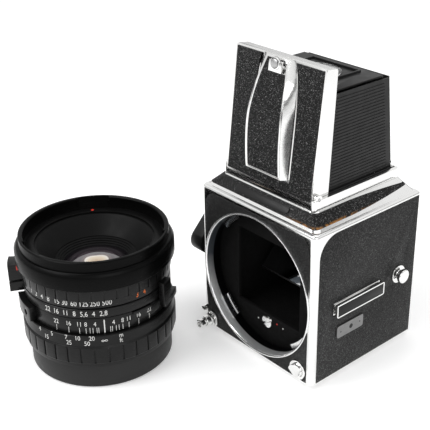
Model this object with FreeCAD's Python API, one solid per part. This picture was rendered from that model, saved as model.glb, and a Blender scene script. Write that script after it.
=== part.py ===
import FreeCAD, Part
import math
import os
from FreeCAD import Vector

# Medium format film camera: body with its waist-level finder open, and the lens standing beside it.
# Millimetres. X runs to the viewer's right seen from the front, the front faces -Y, Z is up.
# The origin is the mouth of the tripod thread, on the face that the camera stands on.

# Body
BODY_WIDTH = 92.0
BODY_DEPTH = 86.0
FOOT_HEIGHT = 3.0
FRONT_CORNER_RADIUS = 3.2
REAR_CORNER_RADIUS = 1.5
TOP_EDGE_RADIUS = 2.2
WALL = 2.5
DECK_GAP = 0.5
SKIN = 0.5
SKIN_SEAT = 0.3
FRONT_SKIN_MARGIN = 4.0
FRONT_SKIN_TOP_MARGIN = 3.4
FRONT_SKIN_RADIUS = 8.0
SIDE_SKIN_FRONT_MARGIN = 4.0
SIDE_SKIN_REAR_MARGIN = 1.6
SIDE_SKIN_TOP_MARGIN = 2.6
SIDE_SKIN_RADIUS = 14.0
SKIN_BOTTOM_MARGIN = 1.0

# Shoulder that slopes up to the finder
SHOULDER_RISE = 7.5
SHOULDER_SIDE_INSET = 9.6
SHOULDER_FRONT_INSET = 8.6
SHOULDER_REAR_INSET = 7.8
SHOULDER_CORNER_RADIUS = 4.0
STRIP_LIFT = 1.6
STRIP_GAP = 0.4
STRIP_TAPER_START = 33.0
STRIP_END_INSET = 7.5
STRIP_END_RISE = 4.0
STRIP_END_WIDTH = 1.0
STRIP_BEND = 0.35
NAME_PLATE_LENGTH = 42.0
NAME_PLATE_WIDTH = 4.6
NAME_PLATE_RISE = 0.5
NAME_PLATE_PLACE = 0.52

# Throat and lens bayonet
THROAT_BOTTOM_MARGIN = 3.2
THROAT_TOP_MARGIN = 6.8
THROAT_SIDE_MARGIN = 4.0
THROAT_RING_WALL = 1.3
THROAT_LIP = 0.9
THROAT_CHAMFER = 0.7
THROAT_DEPTH = 10.6
FLANGE_THICKNESS = 2.0
GATE_HALF_WIDTH = 25.5
GATE_ABOVE_AXIS = 25.0
GATE_BELOW_AXIS = 23.5
CLAW_COUNT = 4
CLAW_START = 45.0
CLAW_ANGLE = 20.0
CLAW_REACH = 3.2
CLAW_THICKNESS = 1.6
CLAW_GAP = 2.0
CLAW_SEAT = 0.7
CLAW_SEAT_START = 0.5
COUPLING_DROP = 28.4
COUPLING_RADIUS = 3.8
COUPLING_PROUD = 1.2
COUPLING_SLOT_WIDTH = 1.3
COUPLING_SLOT_DEPTH = 1.0
COUPLING_SLOT_TURN = -35.0
COUPLING_TAIL_RADIUS = 2.2
COUPLING_TAIL = 2.4

# Light box, mirror and rear flaps
BOX_HALF_WIDTH = 29.5
BOX_WALL = 1.5
BOX_DROP = 29.7
BOX_TO_SCREEN = 6.7
BOX_REAR_GAP = 1.0
ROOF_WINDOW_MARGIN = 2.0
MIRROR_AXIS_INSET = 13.5
MIRROR_AXIS_DROP = 3.7
MIRROR_FRONT_GAP = 1.3
MIRROR_SIDE_GAP = 2.5
MIRROR_HOLDER = 1.2
MIRROR_GLASS = 1.4
MIRROR_ANGLE = 45.0
MIRROR_BARREL = 1.1
MIRROR_LIP = 0.8
MIRROR_GLASS_INSET = 0.5
PIVOT_PIN = 0.8
PIVOT_PIN_SHARE = 0.8
RUNNING_GAP = 0.05
FLAP_AXIS_INSET = 7.4
FLAP_THICKNESS = 0.9
FLAP_SIDE_GAP = 0.9
FLAP_SPLIT_GAP = 0.4
UPPER_FLAP_DROP = 4.8
LOWER_FLAP_RISE = 1.3
WELL_FRONT_SINK = 0.2
WELL_REAR_GAP = 0.1
SCREEN_HEIGHT = 43.6
SCREEN_HALF = 28.4
SCREEN_THICKNESS = 1.6
SCREEN_FRAME = 1.6

# Rear face
REAR_PLATE = 2.6
REAR_PLATE_INSET = 0.4
FILM_GATE = 56.0
HOOK_SPACING = 52.0
HOOK_WIDTH = 9.0
HOOK_REACH = 3.0
HOOK_THICKNESS = 2.2
HOOK_TIP = 5.3
HOOK_ABOVE_EDGE = 1.5
CATCH_SPACING = 40.0
CATCH_HEAD_RADIUS = 2.5
CATCH_STEM_RADIUS = 1.5
CATCH_STEM = 2.4
CATCH_HEAD = 1.4
CATCH_BELOW_EDGE = 5.0
FILM_GEAR_OFFSET = -0.25
FILM_GEAR_DROP = 26.2
FILM_GEAR_RADIUS = 3.6
FILM_GEAR_TEETH = 12
FILM_GEAR_TOOTH = 0.8
FILM_GEAR_FACE = 2.6
FILM_GEAR_SHAFT = 1.4
FILM_GEAR_TAIL = 3.0

# Foot and tripod thread
FOOT_WIDTH = 42.0
FOOT_LENGTH = 44.0
FOOT_EDGE = 1.2
FOOT_SET_BACK = 14.0
FOOT_CORNER_RADIUS = 2.0
TRIPOD_RADIUS = 3.175
TRIPOD_DEPTH = 7.5
BUSH_WALL = 2.5
BUSH_FLOOR = 1.5

# Right side fittings
RAIL_LENGTH = 39.0
RAIL_HEIGHT = 8.2
RAIL_SET_BACK = 15.9
RAIL_DROP = 5.7
RAIL_BASE = 1.4
RAIL_TOP = 3.2
RAIL_NECK = 1.0
RAIL_RIM = 0.8
RAIL_SUNK = 0.5
RAIL_CORNER_RADIUS = 1.2
SIDE_PLATE_LENGTH = 21.5
SIDE_PLATE_HEIGHT = 7.8
SIDE_PLATE_SET_BACK = 18.8
SIDE_PLATE_DROP = 21.2
SIDE_PLATE_THICKNESS = 1.0
SIDE_PLATE_CORNER_RADIUS = 1.5
SIDE_PLATE_HOLE = 1.4
SIDE_PLATE_HOLE_PLACE = 11.4
LUG_INSET = 16.6
LUG_RISE = 0.8
LUG_COLLAR_RADIUS = 5.4
LUG_COLLAR = 1.4
LUG_NECK_RADIUS = 2.8
LUG_NECK = 2.2
LUG_HEAD_RADIUS = 4.2
LUG_HEAD = 2.2
LUG_HEAD_EDGE = 0.7

# Front buttons
RELEASE_INSET = 8.8
RELEASE_RISE = 5.9
RELEASE_COLLAR_RADIUS = 5.3
RELEASE_COLLAR = 2.0
RELEASE_NECK_RADIUS = 3.4
RELEASE_NECK = 3.2
RELEASE_BUTTON_RADIUS = 2.5
RELEASE_BUTTON = 15.0
RELEASE_BUTTON_HEAD = 1.9
RELEASE_RING_RADIUS = 3.0
RELEASE_RING = 1.0
RELEASE_TRAVEL = 2.5
RELEASE_SOCKET = 1.7
LATCH_ARM = 8.6
LATCH_LEAN = 14.0
LATCH_ARM_WIDTH = 1.8
LATCH_RING_WALL = 1.1
LATCH_PLAY = 0.3
LATCH_KNOB_RADIUS = 1.6
LATCH_KNOB = 2.6
CATCH_BUTTON_INSET = 10.2
CATCH_BUTTON_RISE = 7.0
CATCH_COLLAR_RADIUS = 5.8
CATCH_COLLAR = 1.0
CATCH_BUTTON_RADIUS = 4.2
CATCH_BUTTON_REST = 1.0
CATCH_TRAVEL = 1.6
CATCH_HOLLOW_RADIUS = 5.0
CATCH_HOLLOW_DEPTH = 1.4
CATCH_HOLLOW_TURN = 40.0

# Winding crank on the left side
CRANK_SET_BACK = 29.5
CRANK_RISE = 13.8
CRANK_HUB_RADIUS = 16.0
CRANK_BEARING_RADIUS = 12.0
CRANK_BEARING = 4.7
CRANK_THICKNESS = 9.0
CRANK_REACH = 20.0
CRANK_FALL = 9.0
CRANK_END_RADIUS = 7.6
CRANK_SLOT_DEPTH = 3.6
CRANK_HANDLE_WIDTH = 6.0
CRANK_HANDLE_LENGTH = 21.0
CRANK_HANDLE_PIN = 0.8
CRANK_HANDLE_EDGE = 0.6
CRANK_SHAFT_RADIUS = 3.0
CRANK_SHAFT_STUB = 1.2
WIND_GEAR_GAP = 0.8
WIND_GEAR_RADIUS = 11.0
WIND_GEAR_THICKNESS = 2.4
WIND_GEAR_TEETH = 30
WIND_GEAR_TOOTH = 1.0

# Finder
FINDER_SIDE_INSET = 0.4
FINDER_FRONT_INSET = 0.2
FINDER_REAR_INSET = 0.9
FINDER_BAND = 5.9
FINDER_FRONT_BAND = 2.9
FINDER_CORNER_RADIUS = 2.0
FINDER_END_WALL = 1.0
FINDER_WALL = 2.2
FINDER_FLOOR = 1.4
FINDER_WINDOW_MARGIN = 3.2
FINDER_WINDOW_LIP = 0.2
SIDE_HINGE_INSET = 4.6
RIGHT_HINGE_RISE = 4.8
HINGE_STEP = 1.4
REAR_HINGE_INSET = 1.1
PANEL_SHEET = 0.7
PANEL_BARREL = 0.85
PANEL_PIN = 0.45
PANEL_RISE = 59.7
PANEL_FRONT_SET_BACK = 10.4
PANEL_FRONT_LEAN = 2.8
PANEL_REAR_GAP = 1.3
PANEL_REAR_LEAN = 6.4
PANEL_REAR_MARGIN = 4.0
PANEL_BORDER = 1.5
RIB_COUNT = 28
RIB_HEIGHT = 0.3
REAR_PANEL_INSET = 1.2
REAR_LUG_INSET = 6.0
REAR_LUG_HALF = 1.1
REAR_NOTCH = 2.6
REAR_FIELD_MARGIN = 4.0
RIB_SINK = 0.05
LUG_SINK = 0.2
HINGE_LUG = 1.6

# Finder lid
LID_SIDE_INSET = 2.4
LID_LENGTH = 72.4
LID_SET_BACK = 0.2
LID_RISE = 3.5
LID_LEAN = 6.7
LID_SHEET = 1.2
LID_FLANGE_SHEET = 1.0
LID_FLANGE_BOTTOM = 12.4
LID_FLANGE_TOP = 8.4
LID_TOP_WALL = 8.0
LID_EDGE = 1.3
LID_PIVOT_BACK = 3.4
LID_PIVOT_UP = 3.2
LID_PIVOT_PIN = 1.0
LID_EAR_RADIUS = 2.4
LID_PANEL_RIM = 1.4
LID_CORNER_RADIUS = 1.0
LID_TOP_CORNER_RADIUS = 1.6
LID_FLANGE_START = 0.6
LID_FLANGE_FOOT = 1.0
LID_FLANGE_HEAD = 1.2
LID_TOP_DROP = 0.4
LID_BOSS = 0.6
LID_PIN_END = 0.5
BULGE_BOTTOM = 8.0
BULGE_HALF = 13.4
BULGE_TOP_HALF = 8.1
BULGE_WAIST = 30.0
BULGE_FOOT_HALF = 15.5
BULGE_FOOT_TOP_HALF = 13.2
BULGE_CREST = 38.0
BULGE_CREST_RISE = 7.2
BULGE_BOTTOM_RISE = 4.3
BULGE_TOP_RISE = 1.2
BULGE_STATIONS = 9
BULGE_SINK = 0.4
KNOB_RADIUS = 3.5
KNOB_X = 1.6
KNOB_ALONG = 68.8
KNOB_NECK_RADIUS = 1.6
KNOB_RISE = 1.6
KNOB_HEAD = 1.5
KNOB_TAB_WIDTH = 9.6
KNOB_TAB_HEIGHT = 4.6
KNOB_TRAVEL = 2.5
KNOB_TAB = 0.9
KNOB_TAB_ABOVE = 1.5

# Magnifier
MAGNIFIER_HINGE_INSET = 1.5
MAGNIFIER_HEIGHT = 57.8
MAGNIFIER_SIDE_GAP = 1.8
MAGNIFIER_LENGTH = 47.5
MAGNIFIER_SHEET = 1.0
MAGNIFIER_GLASS_RADIUS = 15.0
MAGNIFIER_GLASS_RISE = 2.4
MAGNIFIER_GLASS_EDGE = 0.8
MAGNIFIER_GLASS_LEDGE = 0.5
MAGNIFIER_FRAME = 1.0
MAGNIFIER_FRAME_MARGIN = 3.0
MAGNIFIER_SET_BACK = 1.0
MAGNIFIER_FRAME_RISE = 1.2
MAGNIFIER_BARREL = 1.2
MAGNIFIER_PIN = 0.6
MAGNIFIER_PIN_INSET = 2.0
MAGNIFIER_BRACKET = 4.0
MAGNIFIER_BRACKETS = (-18.0, 14.0)

# Lens, which stands on its rear cap
LENS_X = -69.3
LENS_Y = -102.8
CAP_HEIGHT = 14.4
CAP_WALL = 0.9
CAP_FLOOR = 1.6
CAP_EDGE = 1.0
CAP_FOOT_RADIUS = 30.0
CAP_FOOT_RISE = 0.6
MOUNT_GAP = 0.6
MOUNT_BORE = 26.0
MOUNT_BOTTOM = 2.0
LUG_GAP = 2.0
MOUNT_LUG_THICKNESS = 1.6
FOCUS_BOTTOM = 15.0
FOCUS_TOP = 35.4
FOCUS_SCALE_PROUD = 2.1
FOCUS_GRIP_PROUD = 0.9
FOCUS_WALL = 3.2
FOCUS_GRIP_BOTTOM = 18.4
FOCUS_GRIP_TOP = 28.0
FOCUS_GRIPS = 36
FOCUS_GROOVE_WIDTH = 0.9
FOCUS_GROOVE_DEPTH = 0.7
INDEX_GAP = 0.8
INDEX_TOP = 45.4
APERTURE_BOTTOM = 45.9
APERTURE_TOP = 51.6
APERTURE_PROUD = 0.8
SHUTTER_PROUD = 0.6
SHUTTER_GRIP_BOTTOM = 57.0
SHUTTER_GRIP_TOP = 62.6
SHUTTER_GRIPS = 40
SHUTTER_GROOVE_WIDTH = 0.7
SHUTTER_GROOVE_DEPTH = 0.5
TAB_INSET = 1.0
RING_GAP = 0.5
RING_EDGE = 0.5
SLEEVE_DEPTH = 4.0
RING_CLEARANCE = 0.3
RIM_BOTTOM = 64.1
RIM_PROUD = 3.8
RIM_STEP = 74.8
RIM_TOP = 80.2
RIM_SHOULDER = 2.8
RIM_WALL = 2.8
NAME_SEAT = 0.6
RIM_FOOT = 3.0
RIM_ROUND = 0.9
FILTER_NOTCHES = 3
FILTER_NOTCH_START = 60.0
FILTER_NOTCH_ANGLE = 28.0
FILTER_NOTCH_DEPTH = 1.5
FILTER_NOTCH_HEIGHT = 3.0
NAME_RING = 1.0
NAME_RING_HEIGHT = 73.0
NAME_RING_WIDTH = 5.5
CONE_BOTTOM = 58.4
CONE_BOTTOM_RADIUS = 20.0
CONE_SHEET = 1.2
CONE_WELL_RADIUS = 30.0
CONE_STEPS = 4
CONE_STEP_ZONE = 4.0
GLASS_RADIUS = 19.6
GLASS_RISE = 4.6
GLASS_EDGE = 2.0
REAR_GLASS_RADIUS = 20.0
REAR_GLASS_HEIGHT = 9.0
REAR_GLASS_RISE = 2.0
CELL_LEDGE = 1.5
CELL_FLOOR = 1.2
INDEX_AZIMUTH = -32.5
IRIS_HEIGHT = 38.0
IRIS_OPENING = 17.0
IRIS_THICKNESS = 0.4
IRIS_RIM = 1.6
FRONT_GLASS_DROP = 0.2
TAB_SWING = -90.0
TAB_HALF_ANGLE = 6.5
TAB_PROUD = 4.6
SOCKET_SWING = -70.0
SOCKET_HALF_ANGLE = 13.0
SOCKET_PROUD = 4.2
SOCKET_HEIGHT = 8.6
SOCKET_HOLE = 1.7
SOCKET_HOLE_DEPTH = 2.5
SOCKET_HOLE_SWING = 7.0
POINTER_SWING = 34.0
POINTER_HALF_ANGLE = 8.4
POINTER_PROUD = 0.5
POINTER_DROP = 1.6
LEVER_SWING = 56.0
LEVER_HALF_ANGLE = 5.0
LEVER_PROUD = 5.2
LEVER_BAR_ANGLE = 16.0
LEVER_DROP = 4.2
LEVER_KNOB = 15.0

# Places and sizes that follow from those above
FRONT_Y = -BODY_DEPTH / 2
REAR_Y = BODY_DEPTH / 2
SIDE_X = BODY_WIDTH / 2
THROAT_RADIUS = SIDE_X - THROAT_SIDE_MARGIN
RING_RADIUS = THROAT_RADIUS + THROAT_RING_WALL
THROAT_Z = FOOT_HEIGHT + THROAT_BOTTOM_MARGIN + THROAT_RADIUS
BODY_TOP = THROAT_Z + THROAT_RADIUS + THROAT_TOP_MARGIN
SHOULDER_TOP = BODY_TOP + SHOULDER_RISE
SHOULDER_HALF_WIDTH = SIDE_X - SHOULDER_SIDE_INSET
SHOULDER_FRONT = FRONT_Y + SHOULDER_FRONT_INSET
SHOULDER_REAR = REAR_Y - SHOULDER_REAR_INSET
FRONT_SKIN_TOP = BODY_TOP - FRONT_SKIN_TOP_MARGIN
SIDE_SKIN_TOP = BODY_TOP - SIDE_SKIN_TOP_MARGIN
SKIN_PROUD = SKIN - SKIN_SEAT
BODY_RADII = (FRONT_CORNER_RADIUS, FRONT_CORNER_RADIUS, REAR_CORNER_RADIUS, REAR_CORNER_RADIUS)

FLANGE_Y = FRONT_Y + THROAT_DEPTH
FLANGE_REAR = FLANGE_Y + FLANGE_THICKNESS
CLAW_FRONT = FLANGE_Y - CLAW_GAP - CLAW_THICKNESS
CLAW_SEAT_RADIUS = THROAT_RADIUS + CLAW_SEAT
MIRROR_AXIS_Y = REAR_Y - MIRROR_AXIS_INSET
MIRROR_LENGTH = MIRROR_AXIS_Y - FLANGE_REAR - MIRROR_FRONT_GAP
WELL_FRONT = FLANGE_REAR - WELL_FRONT_SINK
WELL_REAR = MIRROR_AXIS_Y - WELL_REAR_GAP
WELL_CENTRE_Y = (WELL_FRONT + WELL_REAR) / 2
WELL_HALF_X = SCREEN_HALF + SCREEN_FRAME
WELL_HALF_Y = (WELL_REAR - WELL_FRONT) / 2
SCREEN_BOTTOM = THROAT_Z + SCREEN_HEIGHT
BOX_ROOF = SCREEN_BOTTOM - SCREEN_FRAME - BOX_TO_SCREEN - BOX_WALL
BOX_FLOOR = THROAT_Z - BOX_DROP
BOX_REAR = REAR_Y - REAR_PLATE_INSET - REAR_PLATE - BOX_REAR_GAP
DECK_UNDERSIDE = BOX_ROOF + BOX_WALL + DECK_GAP
MIRROR_AXIS_Z = BOX_ROOF - MIRROR_AXIS_DROP
MIRROR_HALF_WIDTH = BOX_HALF_WIDTH - MIRROR_SIDE_GAP
FLAP_AXIS_Y = REAR_Y - FLAP_AXIS_INSET
FLAP_HALF_WIDTH = BOX_HALF_WIDTH - FLAP_SIDE_GAP
UPPER_FLAP_AXIS_Z = BOX_ROOF - UPPER_FLAP_DROP
LOWER_FLAP_AXIS_Z = BOX_FLOOR + LOWER_FLAP_RISE
FILM_GEAR_X = (BOX_HALF_WIDTH + BOX_WALL + SIDE_X - WALL) / 2 + FILM_GEAR_OFFSET
FILM_GEAR_Z = THROAT_Z - FILM_GEAR_DROP

RAIL_FRONT = FRONT_Y + RAIL_SET_BACK
RAIL_BOTTOM = THROAT_Z - RAIL_DROP
SIDE_PLATE_FRONT = FRONT_Y + SIDE_PLATE_SET_BACK
SIDE_PLATE_BOTTOM = THROAT_Z - SIDE_PLATE_DROP
LUG_Y = REAR_Y - LUG_INSET
LUG_Z = THROAT_Z + LUG_RISE
RELEASE_X = -SIDE_X + RELEASE_INSET
RELEASE_Z = FOOT_HEIGHT + RELEASE_RISE
CATCH_BUTTON_X = SIDE_X - CATCH_BUTTON_INSET
CATCH_BUTTON_Z = FOOT_HEIGHT + CATCH_BUTTON_RISE
CRANK_Y = FRONT_Y + CRANK_SET_BACK
CRANK_Z = THROAT_Z + CRANK_RISE
CRANK_END_Y = CRANK_Y - CRANK_REACH
CRANK_END_Z = CRANK_Z - CRANK_FALL
CRANK_INNER = -SIDE_X - CRANK_BEARING - RING_CLEARANCE
CRANK_OUTER = CRANK_INNER - CRANK_THICKNESS
CRANK_FOLD_X = CRANK_OUTER + CRANK_SLOT_DEPTH / 2
WIND_GEAR_X = -SIDE_X + WALL + WIND_GEAR_GAP

FINDER_HALF_WIDTH = SHOULDER_HALF_WIDTH - FINDER_SIDE_INSET
FINDER_FRONT = SHOULDER_FRONT + FINDER_FRONT_INSET
FINDER_REAR = SHOULDER_REAR - FINDER_REAR_INSET
FINDER_BAND_TOP = SHOULDER_TOP + FINDER_BAND
FINDER_FRONT_TOP = SHOULDER_TOP + FINDER_FRONT_BAND
SIDE_HINGE_X = FINDER_HALF_WIDTH - SIDE_HINGE_INSET
RIGHT_HINGE_Z = SHOULDER_TOP + RIGHT_HINGE_RISE
LEFT_HINGE_Z = RIGHT_HINGE_Z + HINGE_STEP
REAR_HINGE_Z = LEFT_HINGE_Z + HINGE_STEP
REAR_HINGE_Y = FINDER_REAR - REAR_HINGE_INSET
LID_HALF_WIDTH = FINDER_HALF_WIDTH - LID_SIDE_INSET
LID_BOTTOM_Y = FINDER_FRONT + LID_SET_BACK
LID_BOTTOM_Z = SHOULDER_TOP + LID_RISE
PANEL_TOP = SHOULDER_TOP + PANEL_RISE
PANEL_FRONT_BOTTOM = LID_BOTTOM_Y + PANEL_FRONT_SET_BACK
PANEL_FRONT_TOP = PANEL_FRONT_BOTTOM + PANEL_FRONT_LEAN
PANEL_REAR_BOTTOM = REAR_HINGE_Y - PANEL_REAR_GAP
PANEL_REAR_TOP = PANEL_REAR_BOTTOM - PANEL_REAR_LEAN
REAR_PANEL_HALF_WIDTH = SIDE_HINGE_X - REAR_PANEL_INSET
MAGNIFIER_HALF_WIDTH = SIDE_HINGE_X - MAGNIFIER_SIDE_GAP

MOUNT_RADIUS = THROAT_RADIUS - CLAW_REACH - MOUNT_GAP
LUG_RADIUS = THROAT_RADIUS - LUG_GAP
CAP_RADIUS = LUG_RADIUS + RING_CLEARANCE + CAP_WALL
INDEX_RADIUS = THROAT_RADIUS - INDEX_GAP
FOCUS_SCALE_RADIUS = INDEX_RADIUS + FOCUS_SCALE_PROUD
FOCUS_RADIUS = FOCUS_SCALE_RADIUS + FOCUS_GRIP_PROUD
APERTURE_RADIUS = INDEX_RADIUS + APERTURE_PROUD
SHUTTER_RADIUS = APERTURE_RADIUS + SHUTTER_PROUD
SLEEVE_RADIUS = INDEX_RADIUS - SLEEVE_DEPTH
RIM_RADIUS = INDEX_RADIUS + RIM_PROUD
RIM_FRONT_RADIUS = RIM_RADIUS - RIM_SHOULDER
RIM_BORE = RIM_FRONT_RADIUS - RIM_WALL
NAME_SEAT_RADIUS = RIM_BORE - NAME_SEAT
NAME_RING_INNER = RIM_BORE - NAME_RING_WIDTH
TAB_RADIUS = RIM_RADIUS + TAB_PROUD
SOCKET_RADIUS = INDEX_RADIUS + SOCKET_PROUD
LEVER_RADIUS = INDEX_RADIUS + LEVER_PROUD
FRONT_GLASS_HEIGHT = CONE_BOTTOM - GLASS_EDGE - FRONT_GLASS_DROP

RIGHT = Vector(1, 0, 0)
BACK = Vector(0, 1, 0)
UP = Vector(0, 0, 1)


def block(x0, x1, y0, y1, z0, z1):
    return Part.makeBox(x1 - x0, y1 - y0, z1 - z0, Vector(x0, y0, z0))


def rod(radius, length, x, y, z, axis):
    return Part.makeCylinder(radius, length, Vector(x, y, z), axis)


def fused(first, others):
    return first.multiFuse(others).removeSplitter()


def extruded(points, direction):
    face = Part.Face(Part.makePolygon(points + [points[0]]))
    return face.extrude(direction)


def turned(profile, x, y):
    """A ring about a vertical axis at x, y from its (radius, height) outline."""
    points = [Vector(x + r, y, z) for r, z in profile]
    face = Part.Face(Part.makePolygon(points + [points[0]]))
    return face.revolve(Vector(x, y, 0), UP, 360)


def rounded_rectangle(u0, u1, v0, v1, radii, place):
    """A closed wire with one radius per corner, from the low u, low v corner round by high u."""
    corners = [(u0, v0, 1, 1), (u1, v0, -1, 1), (u1, v1, -1, -1), (u0, v1, 1, -1)]
    runs = []
    arcs = []
    for (u, v, su, sv), radius in zip(corners, radii):
        along_u = (u + su * radius, v)
        along_v = (u, v + sv * radius)
        bend = radius * (1 - math.sqrt(0.5))
        middle = (u + su * bend, v + sv * bend)
        ends = (along_v, along_u) if su * sv > 0 else (along_u, along_v)
        runs.append(ends)
        arcs.append(middle if radius > 0 else None)
    edges = []
    for i in range(4):
        start, end = runs[i]
        if arcs[i] is not None:
            edges.append(Part.Arc(place(*start), place(*arcs[i]), place(*end)).toShape())
        following = runs[(i + 1) % 4][0]
        edges.append(Part.LineSegment(place(*end), place(*following)).toShape())
    return Part.Wire(edges)


def rounded_block(x0, x1, y0, y1, z0, z1, radii):
    wire = rounded_rectangle(x0, x1, y0, y1, radii, lambda u, v: Vector(u, v, z0))
    return Part.Face(wire).extrude(Vector(0, 0, z1 - z0))


def arc_block(x, y, inner, outer, z0, z1, middle, half):
    """A block bent round a vertical axis, between two radii and two angles in degrees."""
    rings = []
    for radius in (inner, outer):
        bends = [math.radians(middle + turn) for turn in (-half, 0, half)]
        rings.append([Vector(x + radius * math.cos(a), y + radius * math.sin(a), z0) for a in bends])
    near, far = rings
    edges = [Part.Arc(*near).toShape(), Part.LineSegment(near[2], far[2]).toShape()]
    edges += [Part.Arc(*far[::-1]).toShape(), Part.LineSegment(far[0], near[0]).toShape()]
    return Part.Face(Part.Wire(edges)).extrude(Vector(0, 0, z1 - z0))


# Body shell: a box casting with a sloped shoulder, open at the rear

def shoulder(grow):
    """The sloped frustum on top of the body, grown outwards for what lies on it."""
    low = rounded_rectangle(-SIDE_X + TOP_EDGE_RADIUS - grow, SIDE_X - TOP_EDGE_RADIUS + grow,
                            FRONT_Y + TOP_EDGE_RADIUS - grow, REAR_Y - TOP_EDGE_RADIUS + grow,
                            [SHOULDER_CORNER_RADIUS] * 4, lambda u, v: Vector(u, v, BODY_TOP))
    high = rounded_rectangle(-SHOULDER_HALF_WIDTH - grow, SHOULDER_HALF_WIDTH + grow,
                             SHOULDER_FRONT - grow, SHOULDER_REAR + grow,
                             [SHOULDER_CORNER_RADIUS] * 4, lambda u, v: Vector(u, v, SHOULDER_TOP))
    return Part.makeLoft([low, high], True, True)


def body_shell():
    casting = rounded_block(-SIDE_X, SIDE_X, FRONT_Y, REAR_Y, FOOT_HEIGHT, BODY_TOP, BODY_RADII)
    top_edges = [e for e in casting.Edges if abs(e.BoundBox.ZMin - BODY_TOP) < 0.01]
    casting = casting.makeFillet(TOP_EDGE_RADIUS, top_edges)
    casting = fused(casting, [shoulder(0)])
    inner = SIDE_X - WALL
    cavity = block(-inner, inner, FRONT_Y + WALL, REAR_Y + 1, FOOT_HEIGHT + WALL, DECK_UNDERSIDE)
    well = block(-WELL_HALF_X, WELL_HALF_X, WELL_FRONT, WELL_REAR, DECK_UNDERSIDE - 1, SHOULDER_TOP + 1)
    throat = rod(RING_RADIUS, THROAT_DEPTH + FLANGE_THICKNESS + 1, 0, FRONT_Y - 1, THROAT_Z, BACK)
    crank_hole = rod(CRANK_SHAFT_RADIUS + RUNNING_GAP, WALL + 2, -SIDE_X - 1, CRANK_Y, CRANK_Z, RIGHT)
    release_hole = rod(RELEASE_BUTTON_RADIUS + RUNNING_GAP, WALL + 3, RELEASE_X, FRONT_Y - 1, RELEASE_Z, BACK)
    catch_hole = rod(CATCH_BUTTON_RADIUS + RUNNING_GAP, WALL + 3, CATCH_BUTTON_X, FRONT_Y - 1,
                     CATCH_BUTTON_Z, BACK)
    tripod = rod(TRIPOD_RADIUS, FOOT_HEIGHT + WALL + 2, 0, 0, 0, UP)
    seats = [front_skin_solid(0), side_skin_solid(1, 0), side_skin_solid(-1, 0)]
    seats.append(rod(RELEASE_COLLAR_RADIUS, SKIN_SEAT + 1, RELEASE_X, FRONT_Y - 1, RELEASE_Z, BACK))
    seats.append(rod(CATCH_COLLAR_RADIUS, SKIN_SEAT + 1, CATCH_BUTTON_X, FRONT_Y - 1, CATCH_BUTTON_Z, BACK))
    return casting.cut([cavity, well, throat, crank_hole, release_hole, catch_hole, tripod] + seats)


# Leather skins, let into the casting by the seat depth

def front_skin_solid(proud):
    half = SIDE_X - FRONT_SKIN_MARGIN
    wire = rounded_rectangle(-half, half, FOOT_HEIGHT + SKIN_BOTTOM_MARGIN, FRONT_SKIN_TOP,
                             (0, 0, FRONT_SKIN_RADIUS, FRONT_SKIN_RADIUS),
                             lambda u, v: Vector(u, FRONT_Y - proud, v))
    return Part.Face(wire).extrude(Vector(0, SKIN_SEAT + proud, 0))


def side_skin_solid(side, proud):
    wire = rounded_rectangle(FRONT_Y + SIDE_SKIN_FRONT_MARGIN, REAR_Y - SIDE_SKIN_REAR_MARGIN,
                             FOOT_HEIGHT + SKIN_BOTTOM_MARGIN, SIDE_SKIN_TOP, (0, 0, 0, SIDE_SKIN_RADIUS),
                             lambda u, v: Vector(side * (SIDE_X + proud), u, v))
    return Part.Face(wire).extrude(Vector(-side * (SKIN_SEAT + proud), 0, 0))


def front_skin():
    skin = front_skin_solid(SKIN_PROUD)
    outside = FRONT_Y - WALL
    holes = [rod(RING_RADIUS, 2 * WALL, 0, outside, THROAT_Z, BACK)]
    holes.append(rod(RELEASE_COLLAR_RADIUS, 2 * WALL, RELEASE_X, outside, RELEASE_Z, BACK))
    holes.append(block(-SIDE_X, RELEASE_X, outside, FRONT_Y + WALL, 0, RELEASE_Z))
    holes.append(rod(CATCH_COLLAR_RADIUS, 2 * WALL, CATCH_BUTTON_X, outside, CATCH_BUTTON_Z, BACK))
    return skin.cut(holes)


def right_skin():
    skin = side_skin_solid(1, SKIN_PROUD)
    inside = SIDE_X - WALL
    outside = SIDE_X + WALL
    rail = block(inside, outside, RAIL_FRONT, RAIL_FRONT + RAIL_LENGTH,
                 RAIL_BOTTOM, RAIL_BOTTOM + RAIL_HEIGHT)
    plate = block(inside, outside, SIDE_PLATE_FRONT, SIDE_PLATE_FRONT + SIDE_PLATE_LENGTH,
                  SIDE_PLATE_BOTTOM, SIDE_PLATE_BOTTOM + SIDE_PLATE_HEIGHT)
    return skin.cut([rail, plate, rod(LUG_COLLAR_RADIUS, 2 * WALL, inside, LUG_Y, LUG_Z, RIGHT)])


def left_skin():
    skin = side_skin_solid(-1, SKIN_PROUD)
    outside = -SIDE_X - WALL
    return skin.cut([rod(CRANK_BEARING_RADIUS, 2 * WALL, outside, CRANK_Y, CRANK_Z, RIGHT),
                     rod(LUG_COLLAR_RADIUS, 2 * WALL, outside, LUG_Y, LUG_Z, RIGHT)])


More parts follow.
